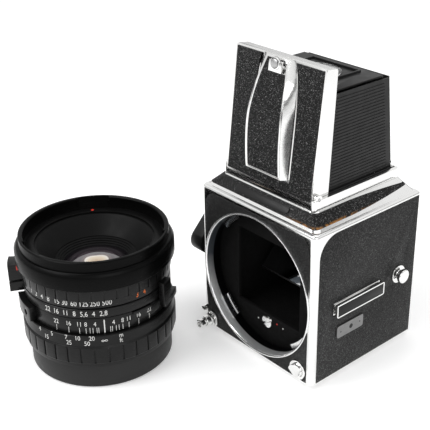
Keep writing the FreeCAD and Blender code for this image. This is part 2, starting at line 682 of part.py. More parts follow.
def shoulder_skin():
    """Leather round the front and sides of the slope, its lower edge rising to a point at the rear."""
    skin = shoulder(SKIN).cut(shoulder(0))
    low = BODY_TOP + STRIP_LIFT
    high = SHOULDER_TOP - STRIP_GAP
    tip = BODY_TOP + STRIP_END_RISE
    start = FRONT_Y + STRIP_TAPER_START
    end = REAR_Y - STRIP_END_INSET

    def point(y, z):
        return Vector(-SIDE_X - 1, y, z)

    def bend(z_start, z_end):
        middle = point((start + end) / 2, z_start + (z_end - z_start) * STRIP_BEND)
        return Part.Arc(point(start, z_start), middle, point(end, z_end)).toShape()

    front = FRONT_Y - 1
    edges = [Part.LineSegment(point(front, low), point(start, low)).toShape(), bend(low, tip)]
    edges.append(Part.LineSegment(point(end, tip), point(end, tip + STRIP_END_WIDTH)).toShape())
    edges.append(bend(high, tip + STRIP_END_WIDTH))
    edges.append(Part.LineSegment(point(start, high), point(front, high)).toShape())
    edges.append(Part.LineSegment(point(front, high), point(front, low)).toShape())
    keep = Part.Face(Part.Wire(edges)).extrude(Vector(BODY_WIDTH + 2, 0, 0))
    return skin.common(keep)


def name_plate():
    """A bare oval plate that lies on the slope in front of the finder."""
    run = SHOULDER_FRONT_INSET - TOP_EDGE_RADIUS
    rise = SHOULDER_TOP - BODY_TOP
    slope = math.degrees(math.atan2(rise, run))
    half = NAME_PLATE_LENGTH / 2
    width = NAME_PLATE_WIDTH / 2
    wire = rounded_rectangle(-half, half, -width, width, [width - 0.05] * 4, lambda u, v: Vector(u, v, 0))
    plate = Part.Face(wire).extrude(Vector(0, 0, NAME_PLATE_RISE))
    plate.rotate(Vector(0, 0, 0), RIGHT, slope)
    normal = Vector(0, -math.sin(math.radians(slope)), math.cos(math.radians(slope)))
    middle = Vector(0, FRONT_Y + TOP_EDGE_RADIUS + run * NAME_PLATE_PLACE, BODY_TOP + rise * NAME_PLATE_PLACE)
    plate.translate(middle + normal * SKIN)
    return plate


# Throat

def throat_ring():
    """Chrome lip and satin wall of the round recess that the lens goes into."""
    face = FRONT_Y - THROAT_LIP
    outer = rod(RING_RADIUS, THROAT_DEPTH + THROAT_LIP, 0, face, THROAT_Z, BACK)
    bore = rod(THROAT_RADIUS, THROAT_DEPTH + THROAT_LIP + 2, 0, face - 1, THROAT_Z, BACK)
    mouth = Vector(0, face, THROAT_Z)
    chamfer = Part.makeCone(THROAT_RADIUS + THROAT_CHAMFER, THROAT_RADIUS, THROAT_CHAMFER, mouth, BACK)
    seat = rod(CLAW_SEAT_RADIUS, THROAT_DEPTH, 0, CLAW_FRONT - CLAW_SEAT_START, THROAT_Z, BACK)
    return outer.cut([bore, chamfer, seat])


def bayonet_claws():
    """Claws that hold the lens, as separate pieces screwed to the recess wall."""
    claws = []
    for i in range(CLAW_COUNT):
        middle = CLAW_START + i * 360 / CLAW_COUNT
        claw = arc_block(0, 0, THROAT_RADIUS - CLAW_REACH, CLAW_SEAT_RADIUS, 0, CLAW_THICKNESS, middle,
                         CLAW_ANGLE / 2)
        claw.rotate(Vector(0, 0, 0), RIGHT, 90)
        claw.translate(Vector(0, FLANGE_Y - CLAW_GAP, THROAT_Z))
        claws.append(claw)
    return Part.makeCompound(claws)


def lens_flange():
    """Plate at the bottom of the recess with the square window to the mirror."""
    plate = rod(RING_RADIUS, FLANGE_THICKNESS, 0, FLANGE_Y, THROAT_Z, BACK)
    window = block(-GATE_HALF_WIDTH, GATE_HALF_WIDTH, FLANGE_Y - 1, FLANGE_REAR + 1,
                   THROAT_Z - GATE_BELOW_AXIS, THROAT_Z + GATE_ABOVE_AXIS)
    hole = rod(COUPLING_RADIUS + RUNNING_GAP, 2 * FLANGE_THICKNESS, 0, FLANGE_Y - FLANGE_THICKNESS / 2,
               THROAT_Z - COUPLING_DROP, BACK)
    screen = block(-WELL_HALF_X, WELL_HALF_X, WELL_FRONT, FLANGE_REAR + 1, SCREEN_BOTTOM - SCREEN_FRAME,
                   SCREEN_BOTTOM + SCREEN_THICKNESS + SCREEN_FRAME)
    return plate.cut([window, hole, screen])


def coupling_shaft():
    """Slotted shaft that cocks the lens."""
    z = THROAT_Z - COUPLING_DROP
    head = rod(COUPLING_RADIUS, COUPLING_PROUD + FLANGE_THICKNESS, 0, FLANGE_Y - COUPLING_PROUD, z, BACK)
    tail = rod(COUPLING_TAIL_RADIUS, COUPLING_TAIL, 0, FLANGE_REAR, z, BACK)
    slot = block(-COUPLING_RADIUS, COUPLING_RADIUS, FLANGE_Y - COUPLING_PROUD - 1,
                 FLANGE_Y - COUPLING_PROUD + COUPLING_SLOT_DEPTH, z - COUPLING_SLOT_WIDTH / 2,
                 z + COUPLING_SLOT_WIDTH / 2)
    slot.rotate(Vector(0, 0, z), BACK, COUPLING_SLOT_TURN)
    return fused(head, [tail]).cut(slot)


# Light box

def light_box():
    outer = block(-BOX_HALF_WIDTH - BOX_WALL, BOX_HALF_WIDTH + BOX_WALL, FLANGE_REAR, BOX_REAR,
                  BOX_FLOOR - BOX_WALL, BOX_ROOF + BOX_WALL)
    inner = block(-BOX_HALF_WIDTH, BOX_HALF_WIDTH, FLANGE_REAR - 1, BOX_REAR + 1, BOX_FLOOR, BOX_ROOF)
    half_x = WELL_HALF_X - ROOF_WINDOW_MARGIN
    half_y = WELL_HALF_Y - ROOF_WINDOW_MARGIN
    window = block(-half_x, half_x, WELL_CENTRE_Y - half_y, WELL_CENTRE_Y + half_y, BOX_ROOF - 1,
                   BOX_ROOF + BOX_WALL + 1)
    span = 2 * (BOX_HALF_WIDTH + BOX_WALL + 1)
    holes = [rod(COUPLING_TAIL_RADIUS + RING_CLEARANCE, COUPLING_TAIL + RING_CLEARANCE, 0, FLANGE_REAR,
                 THROAT_Z - COUPLING_DROP, BACK)]
    pivots = [(MIRROR_AXIS_Y, MIRROR_AXIS_Z)]
    pivots += [(FLAP_AXIS_Y, UPPER_FLAP_AXIS_Z), (FLAP_AXIS_Y, LOWER_FLAP_AXIS_Z)]
    for y, z in pivots:
        holes.append(rod(PIVOT_PIN + RUNNING_GAP, span, -span / 2, y, z, RIGHT))
    return outer.cut([inner, window] + holes)


def pivoted(plate, half_width, y, z):
    """A plate with the rolled edge and stub pins that carry it in the light box's walls."""
    barrel = rod(MIRROR_BARREL, 2 * half_width, -half_width, y, z, RIGHT)
    reach = BOX_HALF_WIDTH + BOX_WALL * PIVOT_PIN_SHARE
    pin = rod(PIVOT_PIN, 2 * reach, -reach, y, z, RIGHT)
    return fused(plate, [barrel, pin])


def mirror_holder():
    front = MIRROR_AXIS_Y - MIRROR_LENGTH
    top = MIRROR_AXIS_Z + MIRROR_HOLDER / 2
    plate = block(-MIRROR_HALF_WIDTH, MIRROR_HALF_WIDTH, front, MIRROR_AXIS_Y, top - MIRROR_HOLDER, top)
    lip = block(-MIRROR_HALF_WIDTH, MIRROR_HALF_WIDTH, front, front + MIRROR_LIP, top, top + MIRROR_GLASS)
    holder = pivoted(fused(plate, [lip]), MIRROR_HALF_WIDTH + 1, MIRROR_AXIS_Y, MIRROR_AXIS_Z)
    holder.rotate(Vector(0, MIRROR_AXIS_Y, MIRROR_AXIS_Z), RIGHT, MIRROR_ANGLE)
    return holder


def mirror_glass():
    top = MIRROR_AXIS_Z + MIRROR_HOLDER / 2
    half = MIRROR_HALF_WIDTH - MIRROR_GLASS_INSET
    glass = block(-half, half, MIRROR_AXIS_Y - MIRROR_LENGTH + MIRROR_LIP,
                  MIRROR_AXIS_Y - MIRROR_BARREL - MIRROR_LIP, top, top + MIRROR_GLASS)
    glass.rotate(Vector(0, MIRROR_AXIS_Y, MIRROR_AXIS_Z), RIGHT, MIRROR_ANGLE)
    return glass


def flap(axis_z, tip_z):
    low, high = sorted((axis_z, tip_z))
    plate = block(-FLAP_HALF_WIDTH, FLAP_HALF_WIDTH, FLAP_AXIS_Y - FLAP_THICKNESS / 2,
                  FLAP_AXIS_Y + FLAP_THICKNESS / 2, low, high)
    return pivoted(plate, FLAP_HALF_WIDTH, FLAP_AXIS_Y, axis_z)


def upper_flap():
    return flap(UPPER_FLAP_AXIS_Z, THROAT_Z + FLAP_SPLIT_GAP / 2)


def lower_flap():
    return flap(LOWER_FLAP_AXIS_Z, THROAT_Z - FLAP_SPLIT_GAP / 2)


def focusing_screen():
    return block(-SCREEN_HALF, SCREEN_HALF, WELL_FRONT + SCREEN_FRAME, WELL_REAR - SCREEN_FRAME,
                 SCREEN_BOTTOM, SCREEN_BOTTOM + SCREEN_THICKNESS)


def screen_frame():
    top = SCREEN_BOTTOM + SCREEN_THICKNESS + SCREEN_FRAME
    outer = block(-WELL_HALF_X, WELL_HALF_X, WELL_FRONT, WELL_REAR, SCREEN_BOTTOM - SCREEN_FRAME, top)
    seat = block(-SCREEN_HALF, SCREEN_HALF, WELL_FRONT + SCREEN_FRAME, WELL_REAR - SCREEN_FRAME,
                 SCREEN_BOTTOM, top + 1)
    sight = SCREEN_HALF - SCREEN_FRAME
    window = block(-sight, sight, WELL_FRONT + 2 * SCREEN_FRAME, WELL_REAR - 2 * SCREEN_FRAME,
                   SCREEN_BOTTOM - SCREEN_FRAME - 1, SCREEN_BOTTOM + 1)
    return outer.cut([seat, window])


# Rear face that takes the film magazine

def rear_plate():
    half = SIDE_X - WALL - REAR_PLATE_INSET
    front = REAR_Y - REAR_PLATE - REAR_PLATE_INSET
    plate = block(-half, half, front, front + REAR_PLATE, FOOT_HEIGHT + WALL + REAR_PLATE_INSET,
                  DECK_UNDERSIDE - REAR_PLATE_INSET)
    gate = FILM_GATE / 2
    window = block(-gate, gate, front - 1, REAR_Y + 1, THROAT_Z - gate, THROAT_Z + gate)
    gear = rod(FILM_GEAR_SHAFT + RUNNING_GAP, REAR_PLATE + 2, FILM_GEAR_X, front - 1, FILM_GEAR_Z, BACK)
    return plate.cut([window, gear])


def magazine_hooks():
    """Two upturned hooks that the magazine's lower edge hangs on."""
    hooks = []
    rear = REAR_Y - REAR_PLATE_INSET
    bottom = FOOT_HEIGHT + WALL + REAR_PLATE_INSET + HOOK_ABOVE_EDGE
    for side in (-1, 1):
        x0 = side * HOOK_SPACING / 2 - HOOK_WIDTH / 2
        x1 = x0 + HOOK_WIDTH
        end = rear + HOOK_REACH + HOOK_THICKNESS
        arm = block(x0, x1, rear, end, bottom, bottom + HOOK_THICKNESS)
        tip = block(x0, x1, rear + HOOK_REACH, end, bottom, bottom + HOOK_TIP)
        hooks.append(fused(arm, [tip]))
    return Part.makeCompound(hooks)


def magazine_catches():
    """Two studs with undercut heads that the magazine's catch closes on."""
    catches = []
    rear = REAR_Y - REAR_PLATE_INSET
    for side in (-1, 1):
        x = side * CATCH_SPACING / 2
        z = DECK_UNDERSIDE - REAR_PLATE_INSET - CATCH_BELOW_EDGE
        stem = rod(CATCH_STEM_RADIUS, CATCH_STEM, x, rear, z, BACK)
        head = rod(CATCH_HEAD_RADIUS, CATCH_HEAD, x, rear + CATCH_STEM, z, BACK)
        catches.append(fused(stem, [head]))
    return Part.makeCompound(catches)


def toothed(radius, thickness, teeth, tooth, x, y, z, axis):
    """A gear wheel from a tip cylinder with a gap cut between each pair of teeth."""
    wheel = rod(radius, thickness, x, y, z, axis)
    gap_width = math.pi * radius / teeth
    gap = block(radius - tooth, radius + 1, -gap_width / 2, gap_width / 2, -1, thickness + 1)
    turn = FreeCAD.Rotation(UP, axis)
    gaps = []
    for i in range(teeth):
        copy = gap.copy()
        copy.rotate(Vector(0, 0, 0), UP, 360 * i / teeth)
        copy.Placement = FreeCAD.Placement(Vector(x, y, z), turn).multiply(copy.Placement)
        gaps.append(copy)
    return wheel.cut(gaps)


def film_gear():
    rear = REAR_Y - REAR_PLATE_INSET
    wheel = toothed(FILM_GEAR_RADIUS, FILM_GEAR_FACE, FILM_GEAR_TEETH, FILM_GEAR_TOOTH, FILM_GEAR_X,
                    rear + RING_CLEARANCE, FILM_GEAR_Z, BACK)
    shaft = rod(FILM_GEAR_SHAFT, REAR_PLATE + FILM_GEAR_TAIL + RING_CLEARANCE, FILM_GEAR_X,
                rear - REAR_PLATE - FILM_GEAR_TAIL, FILM_GEAR_Z, BACK)
    return fused(wheel, [shaft])


# Foot

def base_foot():
    """Foot plate with chamfered sides for a quick coupling and the tripod thread."""
    half = FOOT_WIDTH / 2
    front = FRONT_Y + FOOT_SET_BACK
    corners = [FOOT_CORNER_RADIUS] * 4
    low = rounded_rectangle(-half + FOOT_EDGE, half - FOOT_EDGE, front, front + FOOT_LENGTH, corners,
                            lambda u, v: Vector(u, v, 0))
    high = rounded_rectangle(-half, half, front, front + FOOT_LENGTH, corners,
                             lambda u, v: Vector(u, v, FOOT_HEIGHT))
    foot = Part.makeLoft([low, high], True, True)
    return foot.cut(rod(TRIPOD_RADIUS, FOOT_HEIGHT + 2, 0, 0, -1, UP))


def tripod_bush():
    """Threaded bush in the floor of the casting, closed at its inner end."""
    start = FOOT_HEIGHT + WALL
    bush = rod(TRIPOD_RADIUS + BUSH_WALL, TRIPOD_DEPTH + BUSH_FLOOR - start, 0, 0, start, UP)
    return bush.cut(rod(TRIPOD_RADIUS, TRIPOD_DEPTH, 0, 0, 0, UP))


# Right side fittings

def accessory_rail():
    """Rail plate with undercut long edges and a sunk face, screwed to the side."""
    rear = RAIL_FRONT + RAIL_LENGTH
    top = RAIL_BOTTOM + RAIL_HEIGHT
    seat = SIDE_X - SKIN_SEAT
    base = block(seat, SIDE_X + RAIL_BASE, RAIL_FRONT + RAIL_NECK, rear - RAIL_NECK, RAIL_BOTTOM + RAIL_NECK,
                 top - RAIL_NECK)
    wire = rounded_rectangle(RAIL_FRONT, rear, RAIL_BOTTOM, top, [RAIL_CORNER_RADIUS] * 4,
                             lambda u, v: Vector(SIDE_X + RAIL_BASE, u, v))
    cap = Part.Face(wire).extrude(Vector(RAIL_TOP - RAIL_BASE, 0, 0))
    sunk = block(SIDE_X + RAIL_TOP - RAIL_SUNK, SIDE_X + RAIL_TOP + 1, RAIL_FRONT + RAIL_RIM, rear - RAIL_RIM,
                 RAIL_BOTTOM + RAIL_RIM, top - RAIL_RIM)
    return fused(base, [cap]).cut(sunk)


def side_plate():
    wire = rounded_rectangle(SIDE_PLATE_FRONT, SIDE_PLATE_FRONT + SIDE_PLATE_LENGTH, SIDE_PLATE_BOTTOM,
                             SIDE_PLATE_BOTTOM + SIDE_PLATE_HEIGHT, [SIDE_PLATE_CORNER_RADIUS] * 4,
                             lambda u, v: Vector(SIDE_X - SKIN_SEAT, u, v))
    plate = Part.Face(wire).extrude(Vector(SKIN_SEAT + SIDE_PLATE_THICKNESS, 0, 0))
    middle_z = SIDE_PLATE_BOTTOM + SIDE_PLATE_HEIGHT / 2
    return plate.cut(rod(SIDE_PLATE_HOLE, 2 * WALL, SIDE_X - WALL, SIDE_PLATE_FRONT + SIDE_PLATE_HOLE_PLACE,
                         middle_z, RIGHT))


def strap_lugs():
    """Collar, neck and head of the strap stud on each side."""
    lugs = []
    for side in (-1, 1):
        axis = Vector(side, 0, 0)
        start = side * (SIDE_X - SKIN_SEAT)
        collar = rod(LUG_COLLAR_RADIUS, SKIN_SEAT + LUG_COLLAR, start, LUG_Y, LUG_Z, axis)
        neck = rod(LUG_NECK_RADIUS, LUG_NECK, side * (SIDE_X + LUG_COLLAR), LUG_Y, LUG_Z, axis)
        head = rod(LUG_HEAD_RADIUS, LUG_HEAD, side * (SIDE_X + LUG_COLLAR + LUG_NECK), LUG_Y, LUG_Z, axis)
        outside = SIDE_X + LUG_COLLAR + LUG_NECK + LUG_HEAD
        rim = [e for e in head.Edges if abs(abs(e.CenterOfMass.x) - outside) < 0.01]
        head = head.makeFillet(LUG_HEAD_EDGE, rim)
        lugs.append(fused(collar, [neck, head]))
    return Part.makeCompound(lugs)


# Front buttons

def button_collars():
    """Chrome collars round the release button and the lens catch."""
    seat = FRONT_Y + SKIN_SEAT
    release = rod(RELEASE_COLLAR_RADIUS, SKIN_SEAT + RELEASE_COLLAR, RELEASE_X, FRONT_Y - RELEASE_COLLAR,
                  RELEASE_Z, BACK)
    neck_start = FRONT_Y - RELEASE_COLLAR - LATCH_ARM_WIDTH - RELEASE_NECK
    neck = rod(RELEASE_NECK_RADIUS, RELEASE_NECK + LATCH_ARM_WIDTH, RELEASE_X, neck_start, RELEASE_Z, BACK)
    bore = rod(RELEASE_BUTTON_RADIUS + RUNNING_GAP, 20, RELEASE_X, neck_start - 1, RELEASE_Z, BACK)
    release = fused(release, [neck]).cut(bore)
    catch = rod(CATCH_COLLAR_RADIUS, seat - FRONT_Y + CATCH_COLLAR, CATCH_BUTTON_X, FRONT_Y - CATCH_COLLAR,
                CATCH_BUTTON_Z, BACK)
    hole = rod(CATCH_BUTTON_RADIUS + RUNNING_GAP, 6, CATCH_BUTTON_X, FRONT_Y - 3, CATCH_BUTTON_Z, BACK)
    return Part.makeCompound([release, catch.cut(hole)])


def release_button():
    """Plunger with a rimmed end and a socket for a cable release."""
    neck_start = FRONT_Y - RELEASE_COLLAR - LATCH_ARM_WIDTH - RELEASE_NECK
    front = neck_start - RELEASE_BUTTON_HEAD - RELEASE_TRAVEL
    body = rod(RELEASE_BUTTON_RADIUS, RELEASE_BUTTON, RELEASE_X, front, RELEASE_Z, BACK)
    rim = rod(RELEASE_RING_RADIUS, RELEASE_RING, RELEASE_X, front, RELEASE_Z, BACK)
    socket = rod(RELEASE_SOCKET, 3, RELEASE_X, front - 1, RELEASE_Z, BACK)
    return fused(body, [rim]).cut(socket)


def release_latch():
    """Small lever that turns on the release collar's neck and locks the button."""
    y = FRONT_Y - RELEASE_COLLAR - LATCH_ARM_WIDTH
    thickness = LATCH_ARM_WIDTH - LATCH_PLAY
    half = LATCH_ARM_WIDTH / 2
    ring = rod(RELEASE_NECK_RADIUS + LATCH_RING_WALL, thickness, RELEASE_X, y, RELEASE_Z, BACK)
    arm = block(RELEASE_X - half, RELEASE_X + half, y, y + thickness, RELEASE_Z, RELEASE_Z + LATCH_ARM)
    knob = rod(LATCH_KNOB_RADIUS, LATCH_KNOB + 1, RELEASE_X, y - LATCH_KNOB, RELEASE_Z + LATCH_ARM, BACK)
    lever = fused(ring, [arm, knob])
    lever = lever.cut(rod(RELEASE_NECK_RADIUS + RUNNING_GAP, 8, RELEASE_X, y - 4, RELEASE_Z, BACK))
    lever.rotate(Vector(RELEASE_X, 0, RELEASE_Z), BACK, -LATCH_LEAN)
    return lever


def lens_catch():
    """Push button that frees the lens, with a finger hollow cut across it."""
    front = FRONT_Y - CATCH_COLLAR - CATCH_TRAVEL - CATCH_BUTTON_REST
    button = rod(CATCH_BUTTON_RADIUS, FRONT_Y + WALL + 1 - front, CATCH_BUTTON_X, front, CATCH_BUTTON_Z, BACK)
    reach = 2 * CATCH_BUTTON_RADIUS
    hollow = rod(CATCH_HOLLOW_RADIUS, 2 * reach, CATCH_BUTTON_X,
                 front + CATCH_HOLLOW_DEPTH - CATCH_HOLLOW_RADIUS, CATCH_BUTTON_Z - reach, UP)
    hollow.rotate(Vector(CATCH_BUTTON_X, 0, CATCH_BUTTON_Z), BACK, CATCH_HOLLOW_TURN)
    return button.cut(hollow)


# Winding crank

def crank_bearing():
    start = -SIDE_X - CRANK_BEARING
    disc = rod(CRANK_BEARING_RADIUS, CRANK_BEARING + SKIN_SEAT, start, CRANK_Y, CRANK_Z, RIGHT)
    return disc.cut(rod(CRANK_SHAFT_RADIUS + RUNNING_GAP, CRANK_BEARING + WALL, start - 1, CRANK_Y, CRANK_Z,
                        RIGHT))


def crank_direction():
    along = Vector(0, CRANK_END_Y - CRANK_Y, CRANK_END_Z - CRANK_Z)
    length = along.Length
    return along.normalize(), length


def crank_arm():
    """Winding crank: hub and arm in one piece, with a slot and hinge pin for the folding handle."""
    along, length = crank_direction()
    across = Vector(0, -along.z, along.y)
    hub = rod(CRANK_HUB_RADIUS, CRANK_THICKNESS, CRANK_OUTER, CRANK_Y, CRANK_Z, RIGHT)
    end = rod(CRANK_END_RADIUS, CRANK_THICKNESS, CRANK_OUTER, CRANK_END_Y, CRANK_END_Z, RIGHT)
    swing = math.acos((CRANK_HUB_RADIUS - CRANK_END_RADIUS) / length)
    points = []
    for centre, radius, order in ((Vector(CRANK_OUTER, CRANK_Y, CRANK_Z), CRANK_HUB_RADIUS, (1, -1)),
                                  (Vector(CRANK_OUTER, CRANK_END_Y, CRANK_END_Z), CRANK_END_RADIUS, (-1, 1))):
        for side in order:
            offset = along * (radius * math.cos(swing)) + across * (side * radius * math.sin(swing))
            points.append(centre + offset)
    web = extruded(points, Vector(CRANK_THICKNESS, 0, 0))
    shaft_end = WIND_GEAR_X + WIND_GEAR_THICKNESS + CRANK_SHAFT_STUB
    shaft = rod(CRANK_SHAFT_RADIUS, shaft_end - CRANK_INNER + 1, CRANK_INNER - 1, CRANK_Y, CRANK_Z, RIGHT)
    arm = fused(hub, [end, web, shaft]).cut(crank_handle_space())
    return fused(arm, [crank_handle_rod(CRANK_HANDLE_PIN, CRANK_HANDLE_WIDTH + 2)])


def along_crank(shape):
    """From a frame with z running from the arm's end to the hub, to the crank's own place."""
    along, length = crank_direction()
    turn = FreeCAD.Rotation(UP, along * -1)
    shape.Placement = FreeCAD.Placement(Vector(0, CRANK_END_Y, CRANK_END_Z), turn).multiply(shape.Placement)
    return shape


def crank_handle_rod(radius, length):
    """A round bar on the handle's hinge line."""
    return along_crank(rod(radius, length, CRANK_FOLD_X, -length / 2, 0, BACK))


def crank_handle_space():
    """Slot for the handle and for its rounded end, which turns on the hinge pin."""
    half = CRANK_HANDLE_WIDTH / 2 + RING_CLEARANCE
    return along_crank(block(CRANK_OUTER - 1, CRANK_OUTER + CRANK_SLOT_DEPTH + RING_CLEARANCE, -half, half,
                             -CRANK_SLOT_DEPTH / 2 - RING_CLEARANCE, CRANK_HANDLE_LENGTH + RING_CLEARANCE))


def crank_handle():
    """Folding handle that lies in the arm, hinged at the arm's end."""
    half = CRANK_HANDLE_WIDTH / 2
    bar = block(CRANK_OUTER, CRANK_OUTER + CRANK_SLOT_DEPTH, -half, half, 0, CRANK_HANDLE_LENGTH)
    edges = [e for e in bar.Edges if e.CenterOfMass.z > 0.1]
    bar = along_crank(bar.makeFillet(CRANK_HANDLE_EDGE, edges))
    knuckle = crank_handle_rod(CRANK_SLOT_DEPTH / 2, CRANK_HANDLE_WIDTH)
    bore = crank_handle_rod(CRANK_HANDLE_PIN + RUNNING_GAP, CRANK_HANDLE_WIDTH + 2)
    return fused(bar, [knuckle]).cut(bore)


def wind_gear():
    """First wheel of the winding train, on the crank's shaft inside the casting."""
    wheel = toothed(WIND_GEAR_RADIUS, WIND_GEAR_THICKNESS, WIND_GEAR_TEETH, WIND_GEAR_TOOTH, WIND_GEAR_X,
                    CRANK_Y, CRANK_Z, RIGHT)
    bore = rod(CRANK_SHAFT_RADIUS, WIND_GEAR_THICKNESS + 2, WIND_GEAR_X - 1, CRANK_Y, CRANK_Z, RIGHT)
    return wheel.cut(bore)


# Finder base

def finder_base():
    """Chrome frame on the shoulder, with a gutter inside that the folded panels lie in."""
    outer = rounded_block(-FINDER_HALF_WIDTH, FINDER_HALF_WIDTH, FINDER_FRONT, FINDER_REAR, SHOULDER_TOP,
                          FINDER_BAND_TOP, [FINDER_CORNER_RADIUS] * 4)
    opening = FINDER_HALF_WIDTH - FINDER_WALL
    inner = block(-opening, opening, FINDER_FRONT + FINDER_END_WALL, FINDER_REAR - FINDER_END_WALL,
                  SHOULDER_TOP + FINDER_FLOOR, FINDER_BAND_TOP + 1)
    half_x = SIDE_HINGE_X - FINDER_WINDOW_MARGIN
    inset = SCREEN_FRAME + FINDER_WINDOW_LIP
    window = block(-half_x, half_x, WELL_FRONT + inset, WELL_REAR - inset, SHOULDER_TOP - 1,
                   SHOULDER_TOP + FINDER_FLOOR + 1)
    front = block(-opening, opening, FINDER_FRONT - 1, FINDER_FRONT + LID_PIVOT_BACK + LID_EAR_RADIUS,
                  FINDER_FRONT_TOP, FINDER_BAND_TOP + 1)
    base = outer.cut([inner, window, front])
    lid_y, lid_z = lid_pivot()
    ear = FINDER_WALL - 2 * LUG_SINK
    lugs = [rod(LID_EAR_RADIUS, ear, -opening, lid_y, lid_z, Vector(-1, 0, 0)),
            rod(LID_EAR_RADIUS, ear, opening, lid_y, lid_z, RIGHT)]
    foot = SHOULDER_TOP + FINDER_FLOOR - LUG_SINK
    for side, z in ((1, RIGHT_HINGE_Z), (-1, LEFT_HINGE_Z)):
        for y in (PANEL_FRONT_BOTTOM - HINGE_LUG - RING_CLEARANCE, PANEL_REAR_BOTTOM + RING_CLEARANCE):
            lug_end = LID_HALF_WIDTH - LID_FLANGE_SHEET - RING_CLEARANCE
            x0, x1 = sorted((side * (SIDE_HINGE_X - PANEL_BARREL), side * lug_end))
            lugs.append(block(x0, x1, y, y + HINGE_LUG, foot, z + PANEL_BARREL))
    for side in (-1, 1):
        x1 = REAR_PANEL_HALF_WIDTH - REAR_LUG_INSET
        x0, x1 = sorted((side * x1, side * (x1 - HINGE_LUG)))
        lugs.append(block(x0, x1, REAR_HINGE_Y - REAR_LUG_HALF, FINDER_REAR - LUG_SINK, foot,
                          REAR_HINGE_Z + PANEL_BARREL))
    base = fused(base, lugs)
    bores = []
    start, length = side_pin_span()
    for side, z in ((1, RIGHT_HINGE_Z), (-1, LEFT_HINGE_Z)):
        bores.append(rod(PANEL_PIN, length, side * SIDE_HINGE_X, start, z, BACK))
    reach = REAR_PANEL_HALF_WIDTH - REAR_LUG_INSET
    bores.append(rod(PANEL_PIN, 2 * reach, -reach, REAR_HINGE_Y, REAR_HINGE_Z, RIGHT))
    bores.append(rod(LID_PIVOT_PIN, 4 * FINDER_HALF_WIDTH, -2 * FINDER_HALF_WIDTH, lid_y, lid_z, RIGHT))
    return base.cut(bores)


def side_pin_span():
    """Start and length of a side panel's hinge pin, through both of its lugs."""
    start = PANEL_FRONT_BOTTOM - HINGE_LUG - RING_CLEARANCE
    return start, PANEL_REAR_BOTTOM - PANEL_FRONT_BOTTOM + 2 * (HINGE_LUG + RING_CLEARANCE)


def lid_pivot():
    lean = math.radians(LID_LEAN)
    y = LID_BOTTOM_Y + LID_PIVOT_BACK * math.cos(lean) + LID_PIVOT_UP * math.sin(lean)
    z = LID_BOTTOM_Z + LID_PIVOT_UP * math.cos(lean) - LID_PIVOT_BACK * math.sin(lean)
    return y, z


def finder_pins():
    """Hinge pins of the three folding panels, and the two pivots that the lid turns on."""
    pins = []
    lid_y, lid_z = lid_pivot()
    for side in (-1, 1):
        inner = LID_HALF_WIDTH - LID_FLANGE_SHEET - LID_PIN_END
        pins.append(rod(LID_PIVOT_PIN, FINDER_HALF_WIDTH - LID_PIN_END - inner, side * inner, lid_y, lid_z,
                        Vector(side, 0, 0)))
    start, length = side_pin_span()
    for side, z in ((1, RIGHT_HINGE_Z), (-1, LEFT_HINGE_Z)):
        pins.append(rod(PANEL_PIN, length, side * SIDE_HINGE_X, start, z, BACK))
    reach = REAR_PANEL_HALF_WIDTH - REAR_LUG_INSET
    pins.append(rod(PANEL_PIN, 2 * reach, -reach, REAR_HINGE_Y, REAR_HINGE_Z, RIGHT))
    return Part.makeCompound(pins)


def side_panel(side, hinge_z):
    """Folding side panel: sheet with fine horizontal ribs outside and a plain margin at the rear."""
    x = side * SIDE_HINGE_X

    def edge(front, z):
        share = (z - hinge_z) / (PANEL_TOP - hinge_z)
        low, high = (PANEL_FRONT_BOTTOM, PANEL_FRONT_TOP) if front else (PANEL_REAR_BOTTOM, PANEL_REAR_TOP)
        return low + (high - low) * share

    def sheet(x0, x1, z0, z1, front_inset, rear_inset):
        points = [Vector(x0, edge(True, z0) + front_inset, z0), Vector(x0, edge(False, z0) - rear_inset, z0),
                  Vector(x0, edge(False, z1) - rear_inset, z1), Vector(x0, edge(True, z1) + front_inset, z1)]
        return extruded(points, Vector(x1 - x0, 0, 0))

    inner = x - side * PANEL_SHEET / 2
    outer = x + side * PANEL_SHEET / 2
    panel = sheet(inner, outer, hinge_z, PANEL_TOP, 0, 0)
    low = hinge_z + PANEL_BARREL + PANEL_BORDER
    pitch = (PANEL_TOP - PANEL_BORDER - low) / RIB_COUNT
    ribs = []
    for i in range(RIB_COUNT):
        z = low + i * pitch
        ribs.append(sheet(outer - side * RIB_SINK, outer + side * RIB_HEIGHT, z, z + pitch / 2, PANEL_BORDER,
                          PANEL_REAR_MARGIN))
    barrel = rod(PANEL_BARREL, PANEL_REAR_BOTTOM - PANEL_FRONT_BOTTOM, x, PANEL_FRONT_BOTTOM, hinge_z, BACK)
    panel = fused(panel, ribs + [barrel])
    bore = rod(PANEL_PIN + RUNNING_GAP, 2 * BODY_DEPTH, x, -BODY_DEPTH, hinge_z, BACK)
    return panel.cut(bore)


def right_panel():
    return side_panel(1, RIGHT_HINGE_Z)


def left_panel():
    return side_panel(-1, LEFT_HINGE_Z)


